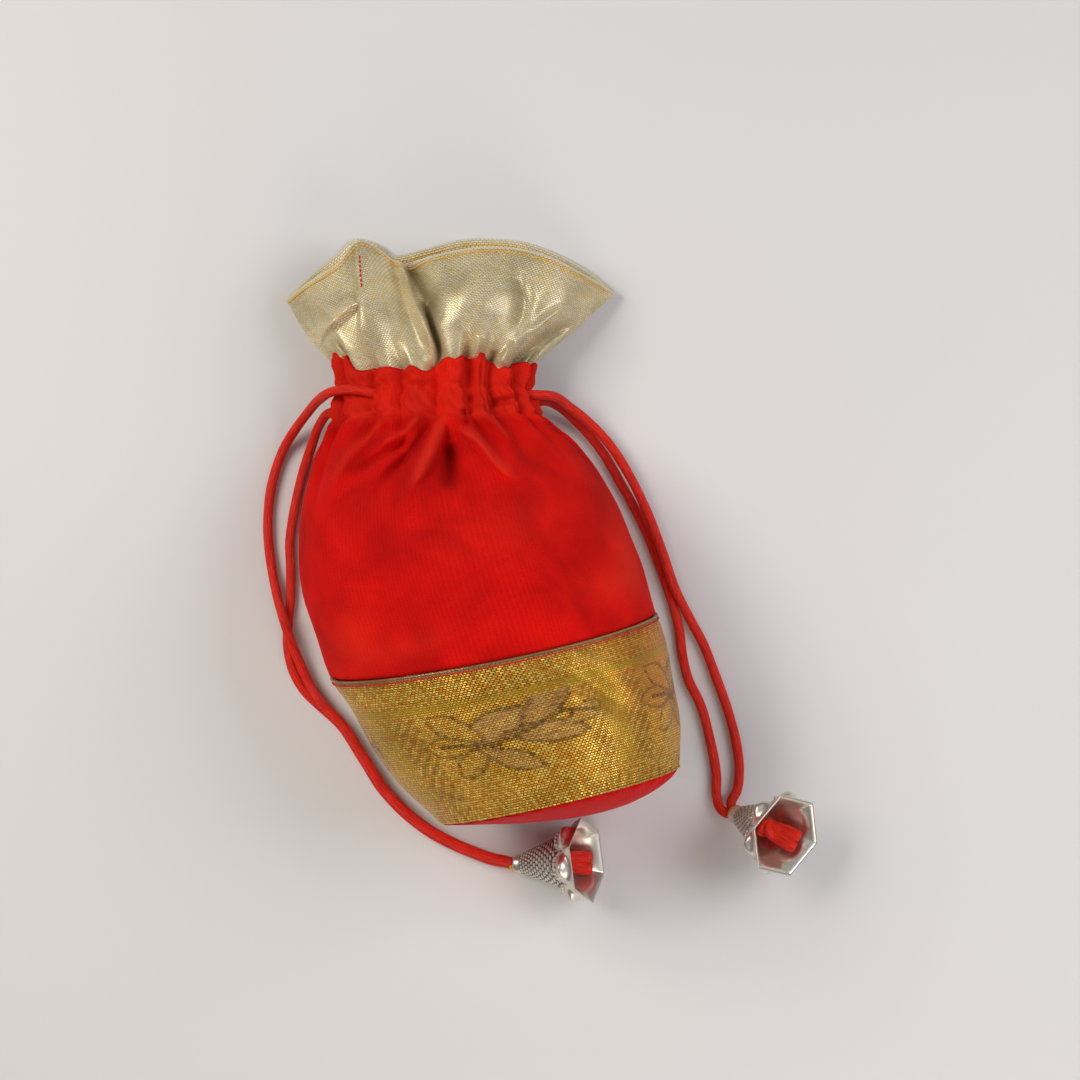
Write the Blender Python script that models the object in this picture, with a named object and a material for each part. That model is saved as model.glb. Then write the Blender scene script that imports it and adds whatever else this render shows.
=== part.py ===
"""Potli bag: a velvet drawstring pouch with a brocade band, a tissue frill and two bell caps on its cords.

The bag lies on its back as it comes to rest. +Y runs from the base to the mouth, +X is to the right
seen from above, +Z is up, and the origin is on the ground under the velvet's flat spot.
"""

import math

import bmesh
import bpy
import numpy as np
from mathutils import Matrix, Vector

MM = 0.001

# Cloth
VELVET_THICKNESS = 1.5 * MM
BAND_THICKNESS = 1.2 * MM
BASE_THICKNESS = 1.4 * MM
FRILL_THICKNESS = 1.0 * MM
LAYER_GAP = 0.5 * MM

# Where each piece starts and ends along the bag's middle line
BASE_Y = -59.7 * MM
HEM_Y = -11.8 * MM
TUCK_LENGTH = 10.0 * MM
LOWER_STITCH_Y = 62.0 * MM
CHANNEL_HEIGHT = 8.5 * MM
HEADING_HEIGHT = 5.5 * MM
BASE_RIM_DEPTH = 8.0 * MM
BASE_DOME = 7.0 * MM
BASE_SAG = 0.5      # how much more the filling swells the base on the right than in the middle
BAND_ROWS = (0.14, 0.31, 0.54)      # rings of the band, as shares of its height

# Gathers
PLEATS = 18
COLUMNS_PER_PLEAT = 4
GATHER_DEPTH = 1.9 * MM
HEADING_RUFFLE = 2.5 * MM

# Drawstring
CORD_DIAMETER = 3.0 * MM
CORD_GAP = 0.3 * MM

# Bell caps
BELL_LENGTH = 24.0 * MM
BELL_MOUTH_RADIUS = 12.6 * MM
COLLAR_RADIUS = 2.95 * MM
COLLAR_LENGTH = 2.0 * MM
BELL_WALL = 0.8 * MM
THROAT_RADIUS = 2.3 * MM
PETALS = 6
COLUMNS_PER_PETAL = 6
PETAL_SWELL = 0.26      # how far each petal swells out, as a share of the radius there
CORNER_REACH = 1.062    # the mouth's corners, as a share of the mouth radius

# Knots inside the bell caps
STEM_RADIUS = 1.4 * MM
KNOT_RADIUS = 3.4 * MM
KNOT_DEPTH = 13.0 * MM
TAIL_LENGTH = 9.0 * MM

# The bag's cross-sections, in mm: middle line Y and X, half width, top and bottom height, turn of the
# section about Z in degrees, and how far its top leans back towards the base.
SECTIONS = [
    (-59.7, -0.2, 36.3, 72.0, -1.0, 4.4, 3.0),
    (-47.0, -1.6, 42.2, 73.5, -1.2, 4.5, 3.8),
    (-34.5, -3.0, 45.6, 73.5, -1.3, 4.6, 4.8),
    (-21.0, -3.8, 47.8, 73.0, -1.3, 5.2, 6.2),
    (-11.8, -5.4, 49.4, 72.0, -1.3, 6.2, 7.2),
    (0.0, -5.5, 50.0, 70.5, -1.3, 7.0, 6.8),
    (13.0, -5.8, 50.2, 67.0, -1.3, 8.0, 5.6),
    (27.0, -4.9, 48.5, 60.5, -1.2, 9.2, 4.2),
    (40.5, -3.4, 44.4, 50.5, -0.6, 10.8, 2.8),
    (52.0, -2.2, 38.2, 39.0, 1.4, 13.0, 1.6),
    (59.5, -1.4, 32.6, 31.0, 3.4, 15.4, 0.8),
    (65.0, -1.1, 29.6, 27.0, 5.0, 16.6, 0.4),
    (69.5, 0.1, 28.9, 26.0, 5.6, 17.4, 0.0),
    (76.0, 2.2, 29.4, 27.0, 5.0, 17.6, 0.0),
    (84.0, 4.8, 31.0, 27.0, 4.0, 17.6, 0.0),
]

# Folds that run down from the channel: where each starts and ends round the bag (degrees, 90 is the
# middle of the front) and along it (mm), its depth and its width (mm).
VELVET_FOLDS = [
    (89.0, 62.0, 93.0, 35.0, 4.4, 3.8),
    (96.0, 61.0, 122.0, 30.0, 3.2, 3.4),
    (82.0, 60.0, 60.0, 27.0, 3.2, 3.6),
    (116.0, 62.0, 150.0, 36.0, 2.8, 3.4),
    (62.0, 61.0, 36.0, 32.0, 2.6, 3.6),
    (48.0, 61.0, 22.0, 36.0, 2.0, 3.4),
    (130.0, 62.0, 162.0, 44.0, 2.2, 3.2),
    (150.0, 62.0, 174.0, 46.0, 1.6, 3.0),
    (28.0, 62.0, 8.0, 44.0, 1.6, 3.0),
    (-30.0, 62.0, -22.0, 40.0, 1.8, 3.4),
    (-60.0, 61.0, -50.0, 34.0, 2.4, 4.0),
    (-90.0, 61.0, -92.0, 36.0, 2.0, 4.0),
    (-122.0, 61.0, -134.0, 36.0, 2.4, 4.0),
    (-152.0, 61.0, -160.0, 40.0, 1.8, 3.4),
]

# The frill's rim in mm, from the right tip over the front to the left tip and back underneath.
FRILL_RIM = [
    (0.0, 64.9, 85.0, 4.6),
    (22.0, 55.2, 92.6, 15.0),
    (40.0, 46.6, 99.4, 21.0),
    (56.0, 36.2, 104.8, 23.5),
    (71.0, 24.4, 108.4, 23.0),
    (84.0, 12.1, 110.6, 19.0),
    (94.0, 2.4, 112.8, 12.0),
    (102.0, -2.0, 118.6, 13.0),
    (110.0, -6.5, 122.2, 18.0),
    (126.0, -15.2, 117.2, 20.5),
    (148.0, -25.3, 115.2, 16.0),
    (180.0, -34.8, 113.8, 6.8),
    (212.0, -25.0, 120.2, 1.2),
    (234.0, -15.6, 123.8, 0.9),
    (250.0, -7.4, 126.6, 1.2),
    (259.0, -2.0, 123.0, 1.4),
    (267.0, 1.2, 118.4, 1.2),
    (280.0, 11.4, 117.2, 0.9),
    (296.0, 24.8, 116.3, 0.9),
    (311.0, 39.0, 111.7, 0.9),
    (328.0, 50.2, 104.2, 1.2),
    (344.0, 59.0, 94.8, 2.2),
    (360.0, 64.9, 85.0, 4.6),
]

# Folds of the frill: degrees at the neck and at the rim, depth and width (mm); a minus depth stands up.
FRILL_FOLDS = [
    (93.0, 94.0, 6.0, 3.0),
    (102.0, 100.0, -2.8, 3.0),
    (84.0, 80.0, -2.4, 4.4),
    (124.0, 134.0, 2.2, 3.4),
    (58.0, 54.0, -3.4, 11.0),
    (40.0, 30.0, 1.4, 4.0),
    (250.0, 256.0, 1.2, 4.0),
    (300.0, 306.0, 1.2, 4.0),
]

# Routes of the four strands, in mm
LEFT_FRONT_ROUTE = [
    (-20.3, 75.5, 24.8), (-25.0, 77.5, 25.0), (-29.5, 78.4, 22.9), (-34.0, 78.2, 17.5), (-38.5, 76.6, 11.5),
    (-43.5, 74.0, 6.2), (-49.2, 69.8, 2.6), (-55.8, 61.0, 1.7), (-61.0, 49.4, 1.7), (-64.0, 36.0, 1.9),
    (-64.9, 26.6, 3.6), (-65.1, 18.6, 5.0), (-65.0, 11.0, 5.0), (-64.4, 3.6, 3.8), (-63.4, -3.6, 3.8),
    (-61.2, -11.0, 5.0), (-57.2, -19.0, 5.0), (-54.2, -29.4, 5.0), (-50.6, -42.0, 5.0), (-44.4, -53.6, 5.0),
    (-37.9, -61.4, 5.0), (-30.8, -67.8, 5.0), (-25.0, -72.1, 5.0), (-21.35, -74.15, 4.65),
]
LEFT_BACK_ROUTE = [
    (-31.8, 74.1, 12.7), (-36.4, 72.2, 8.6), (-40.6, 67.6, 4.6), (-45.8, 60.9, 1.9), (-52.5, 49.2, 1.6),
    (-56.2, 41.4, 1.6), (-58.8, 32.0, 1.6), (-61.6, 23.3, 1.6), (-64.4, 16.6, 1.6), (-66.6, 9.6, 1.6),
    (-67.3, 2.6, 1.6), (-65.8, -4.8, 1.6), (-62.2, -11.6, 1.6), (-58.0, -19.0, 1.6), (-55.0, -29.6, 1.6),
    (-51.4, -42.4, 1.6), (-45.1, -54.2, 1.6), (-38.5, -62.1, 1.6), (-31.2, -68.6, 1.6), (-25.4, -72.9, 1.6),
    (-21.75, -74.85, 1.7),
]
RIGHT_OUTER_ROUTE = [
    (31.3, 59.2, 17.1), (35.8, 57.6, 15.0), (39.8, 53.4, 10.4), (43.6, 48.6, 6.6), (47.5, 41.2, 5.0),
    (51.0, 28.6, 5.0), (53.0, 13.8, 5.0), (53.6, 2.0, 5.0), (53.8, -9.0, 4.2), (55.4, -19.6, 2.4),
    (57.1, -28.8, 1.7), (57.7, -40.0, 1.7), (58.0, -50.5, 1.7), (57.4, -60.8, 1.7), (55.6, -69.6, 1.8),
    (52.8, -75.4, 2.4), (50.0, -78.2, 3.4),
]
RIGHT_INNER_ROUTE = [
    (27.8, 58.0, 12.2), (32.6, 57.8, 10.9), (36.4, 55.4, 7.6), (40.2, 50.4, 3.6), (44.8, 40.6, 1.7), (48.0, 27.0, 1.6),
    (50.8, 11.8, 1.6), (51.6, -1.0, 1.6), (51.9, -12.0, 1.6), (51.3, -22.4, 1.6), (49.8, -30.4, 1.6),
    (49.3, -38.4, 1.6), (50.4, -46.0, 1.6), (49.9, -57.8, 1.6), (48.4, -68.8, 1.7), (46.4, -75.4, 2.2),
    (46.3, -78.8, 2.9), (47.6, -80.8, 3.4),
]

# Where each bell cap lies: its collar's middle (mm), its heading from +X, its rise and its roll (degrees)
LEFT_BELL_PLACE = ((-19.0, -76.0, 3.2), -14.0, 25.5, 10.0)
RIGHT_BELL_PLACE = ((50.3, -82.0, 5.2), -43.0, 52.0, -20.0)

COLUMNS = PLEATS * COLUMNS_PER_PLEAT
CHANNEL_TOP_Y = LOWER_STITCH_Y + CHANNEL_HEIGHT
HEADING_TOP_Y = CHANNEL_TOP_Y + HEADING_HEIGHT
VELVET_TUCK_INSET = BAND_THICKNESS + LAYER_GAP
FRILL_INSET = VELVET_THICKNESS + LAYER_GAP
FRILL_START_Y = LOWER_STITCH_Y - 3.0 * MM


def clear_scene():
    for item in list(bpy.data.objects):
        bpy.data.objects.remove(item, do_unlink=True)


def make_collection(name):
    collection = bpy.data.collections.new(name)
    bpy.context.scene.collection.children.link(collection)
    return collection


def make_material(name, colour, roughness, metallic):
    material = bpy.data.materials.new(name)
    material.use_nodes = True
    shader = material.node_tree.nodes["Principled BSDF"]
    shader.inputs["Base Color"].default_value = (*colour, 1.0)
    shader.inputs["Roughness"].default_value = roughness
    shader.inputs["Metallic"].default_value = metallic
    return material


def smooth_through(keys, at):
    """Values of a smooth curve through rows whose first number rises, read at each value of `at`."""
    table = np.array(keys, dtype=float)
    knots, values = table[:, 0], table[:, 1:]
    slopes = np.gradient(values, knots, axis=0)
    at = np.clip(np.asarray(at, dtype=float), knots[0], knots[-1])
    index = np.clip(np.searchsorted(knots, at, side="right") - 1, 0, len(knots) - 2)
    span = (knots[index + 1] - knots[index])[..., None]
    t = (at - knots[index])[..., None] / span
    low, high = values[index], values[index + 1]
    rise = (2 * t**3 - 3 * t**2 + 1) * low + (3 * t**2 - 2 * t**3) * high
    bend = (t**3 - 2 * t**2 + t) * slopes[index] + (t**3 - t**2) * slopes[index + 1]
    return rise + bend * span


def smooth_step(low, high, value):
    t = np.clip((value - low) / (high - low), 0.0, 1.0)
    return t * t * (3.0 - 2.0 * t)


def column_angles():
    """Angles round the bag: every gather has its own width, but keeps its columns."""
    turn = np.arange(COLUMNS) / COLUMNS
    uneven = 0.010 * np.sin(2 * math.pi * 3 * turn + 0.6) + 0.006 * np.sin(2 * math.pi * 7 * turn + 1.9)
    return 2 * math.pi * (turn + uneven)


def gather_wave():
    """Height of the gathers at each column, from -1 in a valley to about 1 on a crest."""
    turn = np.arange(COLUMNS) / COLUMNS
    crest = np.cos(2 * math.pi * PLEATS * turn)
    uneven = 1.0 + 0.22 * np.sin(2 * math.pi * 5 * turn + 0.4) + 0.14 * np.sin(2 * math.pi * 9 * turn + 2.2)
    return crest * uneven


def gather_depth(y):
    """How deep the gathers are at a place along the bag."""
    fade = smooth_step(26.0 * MM, LOWER_STITCH_Y, y)
    ruffle = smooth_step(CHANNEL_TOP_Y, HEADING_TOP_Y, y)
    return GATHER_DEPTH * fade**2 + (HEADING_RUFFLE - GATHER_DEPTH) * ruffle


def velvet_relief(y, angles):
    """Folds pressed into the velvet below the channel."""
    relief = np.zeros_like(angles)
    width_here = smooth_through(SECTIONS, y / MM)[1]
    for start, start_y, end, end_y, depth, width in VELVET_FOLDS:
        along = (start_y * MM - y) / ((start_y - end_y) * MM)
        if along < -0.5 or along > 1.0:
            continue
        middle = math.radians(start + (end - start) * max(along, 0.0))
        apart = np.abs((angles - middle + math.pi) % (2 * math.pi) - math.pi)
        reach = width * (0.7 + 0.8 * max(along, 0.0)) / max(width_here, 1.0)
        strength = math.sin(math.pi * (along + 0.5) / 1.5) ** 1.5
        relief -= depth * MM * strength * np.exp(-((apart / reach) ** 2))
    return relief


def bag_ring(y, inset, angles, relief=0.0, along=0.0):
    """One closed ring of the bag at `y`, `inset` inside the outer face."""
    cx, half, top, bottom, turn, lean = smooth_through(SECTIONS, y / MM)
    middle, high = (top + bottom) / 2 * MM, (top - bottom) / 2 * MM
    out = relief - inset
    wide = (half * MM + out) * np.cos(angles)
    up = (high + out) * np.sin(angles)
    turn = math.radians(turn)
    x = cx * MM + wide * math.cos(turn) + along * math.sin(turn)
    back = y - wide * math.sin(turn) - lean * MM * np.sin(angles) + along * math.cos(turn)
    z = np.maximum(middle + up, max(inset, 0.0))
    return np.stack([x, back, z], axis=1)


def rings_to_mesh(name, rings, closed=False):
    """A tube through rings of equal point counts. Its ends are capped, or `closed` joins last to first.

    Each four-sided patch is cut along the same diagonal whichever way the rings run, so that two
    layers of cloth that lie close together keep their gap.
    """
    count = len(rings[0])
    points = np.concatenate(rings).tolist()
    faces = []
    total = len(rings)
    for row in range(total if closed else total - 1):
        below, above = row * count, ((row + 1) % total) * count
        rising = rings[(row + 1) % total][:, 1].mean() > rings[row][:, 1].mean()
        for column in range(count):
            after = (column + 1) % count
            a, b, c, d = below + column, below + after, above + after, above + column
            faces += [(a, b, c), (a, c, d)] if rising else [(a, b, d), (b, c, d)]
    if not closed:
        for row, flip in ((0, True), (total - 1, False)):
            centre = len(points)
            points.append(rings[row].mean(axis=0).tolist())
            for column in range(count):
                edge = (row * count + column, row * count + (column + 1) % count)
                faces.append((edge[1], edge[0], centre) if flip else (edge[0], edge[1], centre))
    mesh = bpy.data.meshes.new(name)
    mesh.from_pydata(points, [], faces)
    shape = bmesh.new()
    shape.from_mesh(mesh)
    bmesh.ops.recalc_face_normals(shape, faces=shape.faces)
    if shape.calc_volume(signed=True) < 0:
        bmesh.ops.reverse_faces(shape, faces=shape.faces)
    shape.to_mesh(mesh)
    shape.free()
    mesh.shade_smooth()
    return mesh


def add_object(name, mesh, collection, material):
    item = bpy.data.objects.new(name, mesh)
    item.data.materials.append(material)
    collection.objects.link(item)
    return item


def velvet_rows():
    """Places along the bag that every layer of the gathered neck shares."""
    channel = [FRILL_START_Y] + [LOWER_STITCH_Y + CHANNEL_HEIGHT * share for share in (0.0, 0.28, 0.72, 1.0)]
    heading = [CHANNEL_TOP_Y + HEADING_HEIGHT * share for share in (0.5, 1.0)]
    return channel, heading


def stitch_pinch(y):
    """The two stitch rows of the channel pull the gathers in; the channel stands up between them."""
    share = (y - LOWER_STITCH_Y) / CHANNEL_HEIGHT
    if share < 0.0 or share > 1.0:
        return 0.0
    return 0.9 * MM * math.sin(math.pi * share)


def neck_relief(y, angles, wave):
    return gather_depth(y) * wave + stitch_pinch(y) + velvet_relief(y, angles)


def heading_lift(y, wave):
    """The velvet's top edge runs in soft scallops."""
    return 1.1 * MM * smooth_step(CHANNEL_TOP_Y, HEADING_TOP_Y, y) * wave


def make_velvet_body(collection):
    angles, wave = column_angles(), gather_wave()
    channel, heading = velvet_rows()
    body = [-3.0, 8.0, 19.0, 29.0, 37.0, 43.5, 49.0, 53.0, 56.2]
    outer_rows = [value * MM for value in body] + channel + heading
    rings = []
    for y in (HEM_Y - TUCK_LENGTH, HEM_Y + LAYER_GAP):
        rings.append(bag_ring(y, VELVET_TUCK_INSET, angles))
    rings.append(bag_ring(HEM_Y + 2 * LAYER_GAP, 0.0, angles))
    for y in outer_rows:
        rings.append(bag_ring(y, 0.0, angles, neck_relief(y, angles, wave), heading_lift(y, wave)))
    inner_rows = heading[::-1] + channel[::-1] + [value * MM for value in (53.0, 43.5, 29.0, 8.0)]
    for y in inner_rows:
        relief = neck_relief(y, angles, wave)
        rings.append(bag_ring(y, VELVET_THICKNESS, angles, relief, heading_lift(y, wave)))
    for y in (HEM_Y, HEM_Y - TUCK_LENGTH):
        rings.append(bag_ring(y, VELVET_TUCK_INSET + VELVET_THICKNESS, angles))
    material = make_material("red_velvet", (0.55, 0.006, 0.004), 0.85, 0.0)
    return add_object("velvet_body", rings_to_mesh("velvet_body", rings, closed=True), collection, material)


def band_angles():
    return column_angles()[::2]


def make_brocade_band(collection):
    angles = band_angles()
    hem = 5.0 * MM
    middle = [BASE_Y + (HEM_Y - BASE_Y) * share for share in BAND_ROWS]
    outer = [BASE_Y] + middle + [HEM_Y - TUCK_LENGTH, HEM_Y - hem - 0.4 * MM]
    rings = [bag_ring(y, 0.0, angles) for y in outer]
    for y in (HEM_Y - hem, HEM_Y):
        rings.append(bag_ring(y, -0.5 * MM, angles))
    for y in [HEM_Y, HEM_Y - TUCK_LENGTH] + middle[::-1] + [BASE_Y]:
        rings.append(bag_ring(y, BAND_THICKNESS, angles))
    material = make_material("gold_brocade", (0.50, 0.30, 0.05), 0.38, 0.75)
    return add_object("brocade_band", rings_to_mesh("brocade_band", rings, closed=True), collection, material)


def dome_ring(scale, bulge, angles, inset):
    """A ring of the base's domed face: the base outline shrunk to `scale` and pushed out."""
    ring = bag_ring(BASE_Y, inset, angles)
    middle = ring.mean(axis=0)
    sideways = (ring[:, 0] - middle[0]) / np.ptp(ring[:, 0]) * 2.0 * scale
    ring = middle + (ring - middle) * scale
    ring[:, 1] -= bulge * (1.0 + BASE_SAG * sideways)
    ring[:, 2] = np.maximum(ring[:, 2], max(inset, 0.0))
    return ring


def make_satin_base(collection):
    angles = band_angles()
    rim = BAND_THICKNESS + LAYER_GAP
    out = CORD_GAP
    rings = [dome_ring(0.30, BASE_DOME * 0.92 + out, angles, 0.4 * MM)]
    for scale in (0.52, 0.72, 0.87, 0.96, 1.0):
        bulge = BASE_DOME * (1.0 - scale**2) ** 0.8 + out
        rings.append(dome_ring(scale, bulge, angles, 0.4 * MM))
    rings.append(bag_ring(BASE_Y, rim, angles, along=-out))
    rings.append(bag_ring(BASE_Y + BASE_RIM_DEPTH, rim, angles))
    rings.append(bag_ring(BASE_Y + BASE_RIM_DEPTH, rim + BASE_THICKNESS, angles))
    rings.append(bag_ring(BASE_Y, rim + BASE_THICKNESS, angles))
    for scale in (0.87, 0.72, 0.52, 0.30):
        bulge = BASE_DOME * (1.0 - scale**2) ** 0.8 - BASE_THICKNESS
        rings.append(dome_ring(scale, bulge, angles, rim))
    material = make_material("red_satin", (0.45, 0.005, 0.008), 0.42, 0.0)
    return add_object("satin_base", rings_to_mesh("satin_base", rings), collection, material)


def frill_rim(angles, inset):
    """The frill's rim at the bag's column angles; `inset` moves it towards the middle of the mouth."""
    rim = smooth_through(FRILL_RIM, np.degrees(angles) % 360.0)
    middle = np.array([14.0, 100.0, 9.0])
    spread = rim - middle
    towards = np.stack([np.zeros(len(angles)), np.zeros(len(angles)), spread[:, 2]], axis=1)
    side = np.abs(np.cos(angles))[:, None] * np.stack([spread[:, 0], spread[:, 1] * 0.0, spread[:, 2] * 0.0], axis=1)
    pull = towards + side * 0.35
    length = np.maximum(np.linalg.norm(pull, axis=1, keepdims=True), 1e-6)
    return rim * MM - pull / length * inset


def frill_relief(angles, share):
    relief = np.zeros_like(angles)
    for neck, rim, depth, width in FRILL_FOLDS:
        middle = math.radians(neck + (rim - neck) * share)
        apart = np.abs((angles - middle + math.pi) % (2 * math.pi) - math.pi)
        reach = width / 34.0
        relief -= depth * MM * math.sin(math.pi * min(share * 0.75 + 0.12, 1.0)) * np.exp(-((apart / reach) ** 2))
    return relief


def frill_ring(share, inset, angles, wave):
    """One ring of the frill between the heading, at share 0, and the rim, at share 1."""
    relief = neck_relief(HEADING_TOP_Y, angles, wave)
    neck = bag_ring(HEADING_TOP_Y, FRILL_INSET + inset, angles, relief, heading_lift(HEADING_TOP_Y, wave))
    rim = frill_rim(angles, inset)
    ease = share**1.15
    ring = neck * (1.0 - ease) + rim * ease
    puff = 5.0 * MM * math.sin(math.pi * share) * np.clip(np.sin(angles), 0.0, 1.0)
    fold = frill_relief(angles, share) * np.where(np.sin(angles) > 0.0, 1.0, -1.0)
    ring[:, 2] = np.maximum(ring[:, 2] + puff + fold, 0.4 * MM + (inset if share < 1.0 else 0.0))
    return ring


def make_frill(collection):
    angles, wave = column_angles(), gather_wave()
    channel, heading = velvet_rows()
    rows = channel + heading
    shares = (0.14, 0.32, 0.54, 0.77, 1.0)
    inner_shares = (1.0, 0.54, 0.14)
    rings = []
    for y in rows:
        relief = neck_relief(y, angles, wave)
        rings.append(bag_ring(y, FRILL_INSET, angles, relief, heading_lift(y, wave)))
    rings += [frill_ring(share, 0.0, angles, wave) for share in shares]
    rings += [frill_ring(share, FRILL_THICKNESS, angles, wave) for share in inner_shares]
    for y in rows[::-1]:
        relief = neck_relief(y, angles, wave)
        rings.append(bag_ring(y, FRILL_INSET + FRILL_THICKNESS, angles, relief, heading_lift(y, wave)))
    material = make_material("gold_tissue", (0.66, 0.55, 0.34), 0.40, 0.55)
    return add_object("frill", rings_to_mesh("frill", rings, closed=True), collection, material)


def bell_radius(x):
    """The bell cap's outer radius at a distance from its collar's face."""
    keys = [(0.0, COLLAR_RADIUS), (COLLAR_LENGTH, COLLAR_RADIUS), (BELL_LENGTH * 0.75, BELL_MOUTH_RADIUS * 0.715)]
    keys += [(BELL_LENGTH * 0.90, BELL_MOUTH_RADIUS * 0.86), (BELL_LENGTH, BELL_MOUTH_RADIUS)]
    return float(np.interp(x, [key[0] for key in keys], [key[1] for key in keys]))


def bell_ring(x, radius, swell=0.0):
    """A ring of the bell cap: round at the collar, six petals of a given swell, then six straight sides."""
    count = PETALS * COLUMNS_PER_PETAL
    turn = 2 * math.pi * np.arange(count) / count
    share = x / BELL_LENGTH
    side = 2 * math.pi / PETALS
    from_middle = turn % side - side / 2
    straight = math.cos(side / 2) / np.cos(from_middle) * CORNER_REACH
    mouth = float(smooth_step(0.84, 0.97, share))
    petal = swell * math.exp(-(((share - 0.83) / 0.085) ** 2)) * np.cos(from_middle * math.pi / side) ** 2
    spread = radius * ((1.0 - mouth) + mouth * straight + petal)
    return np.stack([np.full(count, x), spread * np.cos(turn), spread * np.sin(turn)], axis=1)


def make_bell_mesh(name):
    outer = [0.0, COLLAR_LENGTH, 5.5 * MM, 12.0 * MM, 17.0 * MM, 19.0 * MM, 21.0 * MM, 22.6 * MM, BELL_LENGTH]
    inner = [BELL_LENGTH, 22.6 * MM, 21.0 * MM, 18.0 * MM, 12.0 * MM, 5.5 * MM]
    rings = [bell_ring(x, bell_radius(x), PETAL_SWELL) for x in outer]
    rings += [bell_ring(x, bell_radius(x) - BELL_WALL) for x in inner]
    rings.append(bell_ring(COLLAR_LENGTH, THROAT_RADIUS))
    rings.append(bell_ring(0.0, THROAT_RADIUS))
    return rings_to_mesh(name, rings, closed=True)


def bell_matrix(place):
    """A bell cap's own X is its axis, from the collar to the mouth; -Z is the side its knot lies on."""
    (x, y, z), heading, rise = place[:3]
    turned = Matrix.Rotation(math.radians(heading), 4, "Z") @ Matrix.Rotation(math.radians(-rise), 4, "Y")
    return Matrix.Translation(Vector((x, y, z)) * MM) @ turned


def wall_slope():
    """Angle of the bell cap's wall to its axis, along which the knot's stem runs."""
    rise = BELL_MOUTH_RADIUS * 0.715 - COLLAR_RADIUS
    return math.atan2(rise, BELL_LENGTH * 0.75 - COLLAR_LENGTH)


def tube_mesh(route, radius, sides=8):
    """A closed tube of a given radius through a list of points."""
    data = bpy.data.curves.new("tube", "CURVE")
    data.dimensions = "3D"
    data.bevel_depth = radius
    data.bevel_resolution = sides // 4
    data.use_fill_caps = True
    spline = data.splines.new("POLY")
    spline.points.add(len(route) - 1)
    for point, place in zip(spline.points, route):
        point.co = (*place, 1.0)
    item = bpy.data.objects.new("tube", data)
    bpy.context.scene.collection.objects.link(item)
    bpy.context.view_layer.update()
    graph = bpy.context.evaluated_depsgraph_get()
    mesh = bpy.data.meshes.new_from_object(item.evaluated_get(graph))
    bpy.data.objects.remove(item, do_unlink=True)
    shape = bmesh.new()
    shape.from_mesh(mesh)
    bmesh.ops.remove_doubles(shape, verts=shape.verts, dist=0.00001)
    bmesh.ops.recalc_face_normals(shape, faces=shape.faces)
    shape.to_mesh(mesh)
    shape.free()
    return mesh


def route_curve(route, spacing):
    """Points of a smooth curve through a route in mm, about `spacing` apart."""
    points = np.array(route) * MM
    steps = np.concatenate([[0.0], np.cumsum(np.linalg.norm(np.diff(points, axis=0), axis=1))])
    keys = np.column_stack([steps, points])
    count = max(4, int(round(steps[-1] / spacing)))
    return smooth_through(keys, np.linspace(0.0, steps[-1], count + 1))


def make_knot(name, place, collection, cutters, material):
    """The stem that fills the throat, the knot's ball and its two tails, as one solid."""
    slope = wall_slope()
    run = Vector((math.cos(slope), 0.0, -math.sin(slope)))
    side = Vector((0.0, 1.0, 0.0))
    lift = Vector((math.sin(slope), 0.0, math.cos(slope)))
    ball_lift = lift * (KNOT_RADIUS - STEM_RADIUS * 0.7)
    ball = run * KNOT_DEPTH + ball_lift
    pieces = [tube_mesh([run * -2.4 * MM, run * 2.0 * MM, run * KNOT_DEPTH + lift * STEM_RADIUS * 0.5], STEM_RADIUS)]
    for way in (-1.0, 1.0):
        start = ball + run * KNOT_RADIUS * 0.3 + side * way * 0.6 * MM
        middle = ball + run * TAIL_LENGTH * 0.55 + side * way * 1.8 * MM - lift * 0.6 * MM
        end = ball + run * TAIL_LENGTH + side * way * 2.2 * MM - lift * 1.0 * MM
        pieces.append(tube_mesh([start, middle, end], CORD_DIAMETER * 0.5))
    sphere = bmesh.new()
    bmesh.ops.create_uvsphere(sphere, u_segments=12, v_segments=8, radius=KNOT_RADIUS)
    mesh = bpy.data.meshes.new(name)
    sphere.to_mesh(mesh)
    sphere.free()
    mesh.transform(Matrix.Translation(ball))
    mesh.shade_smooth()
    knot = add_object(name, mesh, collection, material)
    knot.matrix_world = bell_matrix(place)
    for index, piece in enumerate(pieces):
        cutter = bpy.data.objects.new(f"{name}_cord_{index + 1}", piece)
        cutter.matrix_world = knot.matrix_world
        cutter.hide_render = True
        cutter.display_type = "WIRE"
        cutters.objects.link(cutter)
        union = knot.modifiers.new(f"join_{index + 1}", "BOOLEAN")
        union.operation = "UNION"
        union.object = cutter
    return knot


def make_strand(name, route, collection, material):
    points = route_curve(route, CORD_DIAMETER * 2.0)
    data = bpy.data.curves.new(name, "CURVE")
    data.dimensions = "3D"
    data.bevel_depth = CORD_DIAMETER / 2
    data.bevel_resolution = 2
    data.use_fill_caps = True
    spline = data.splines.new("POLY")
    spline.points.add(len(points) - 1)
    for point, place in zip(spline.points, points):
        point.co = (*place, 1.0)
    strand = bpy.data.objects.new(name, data)
    strand.data.materials.append(material)
    collection.objects.link(strand)
    return strand


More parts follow.
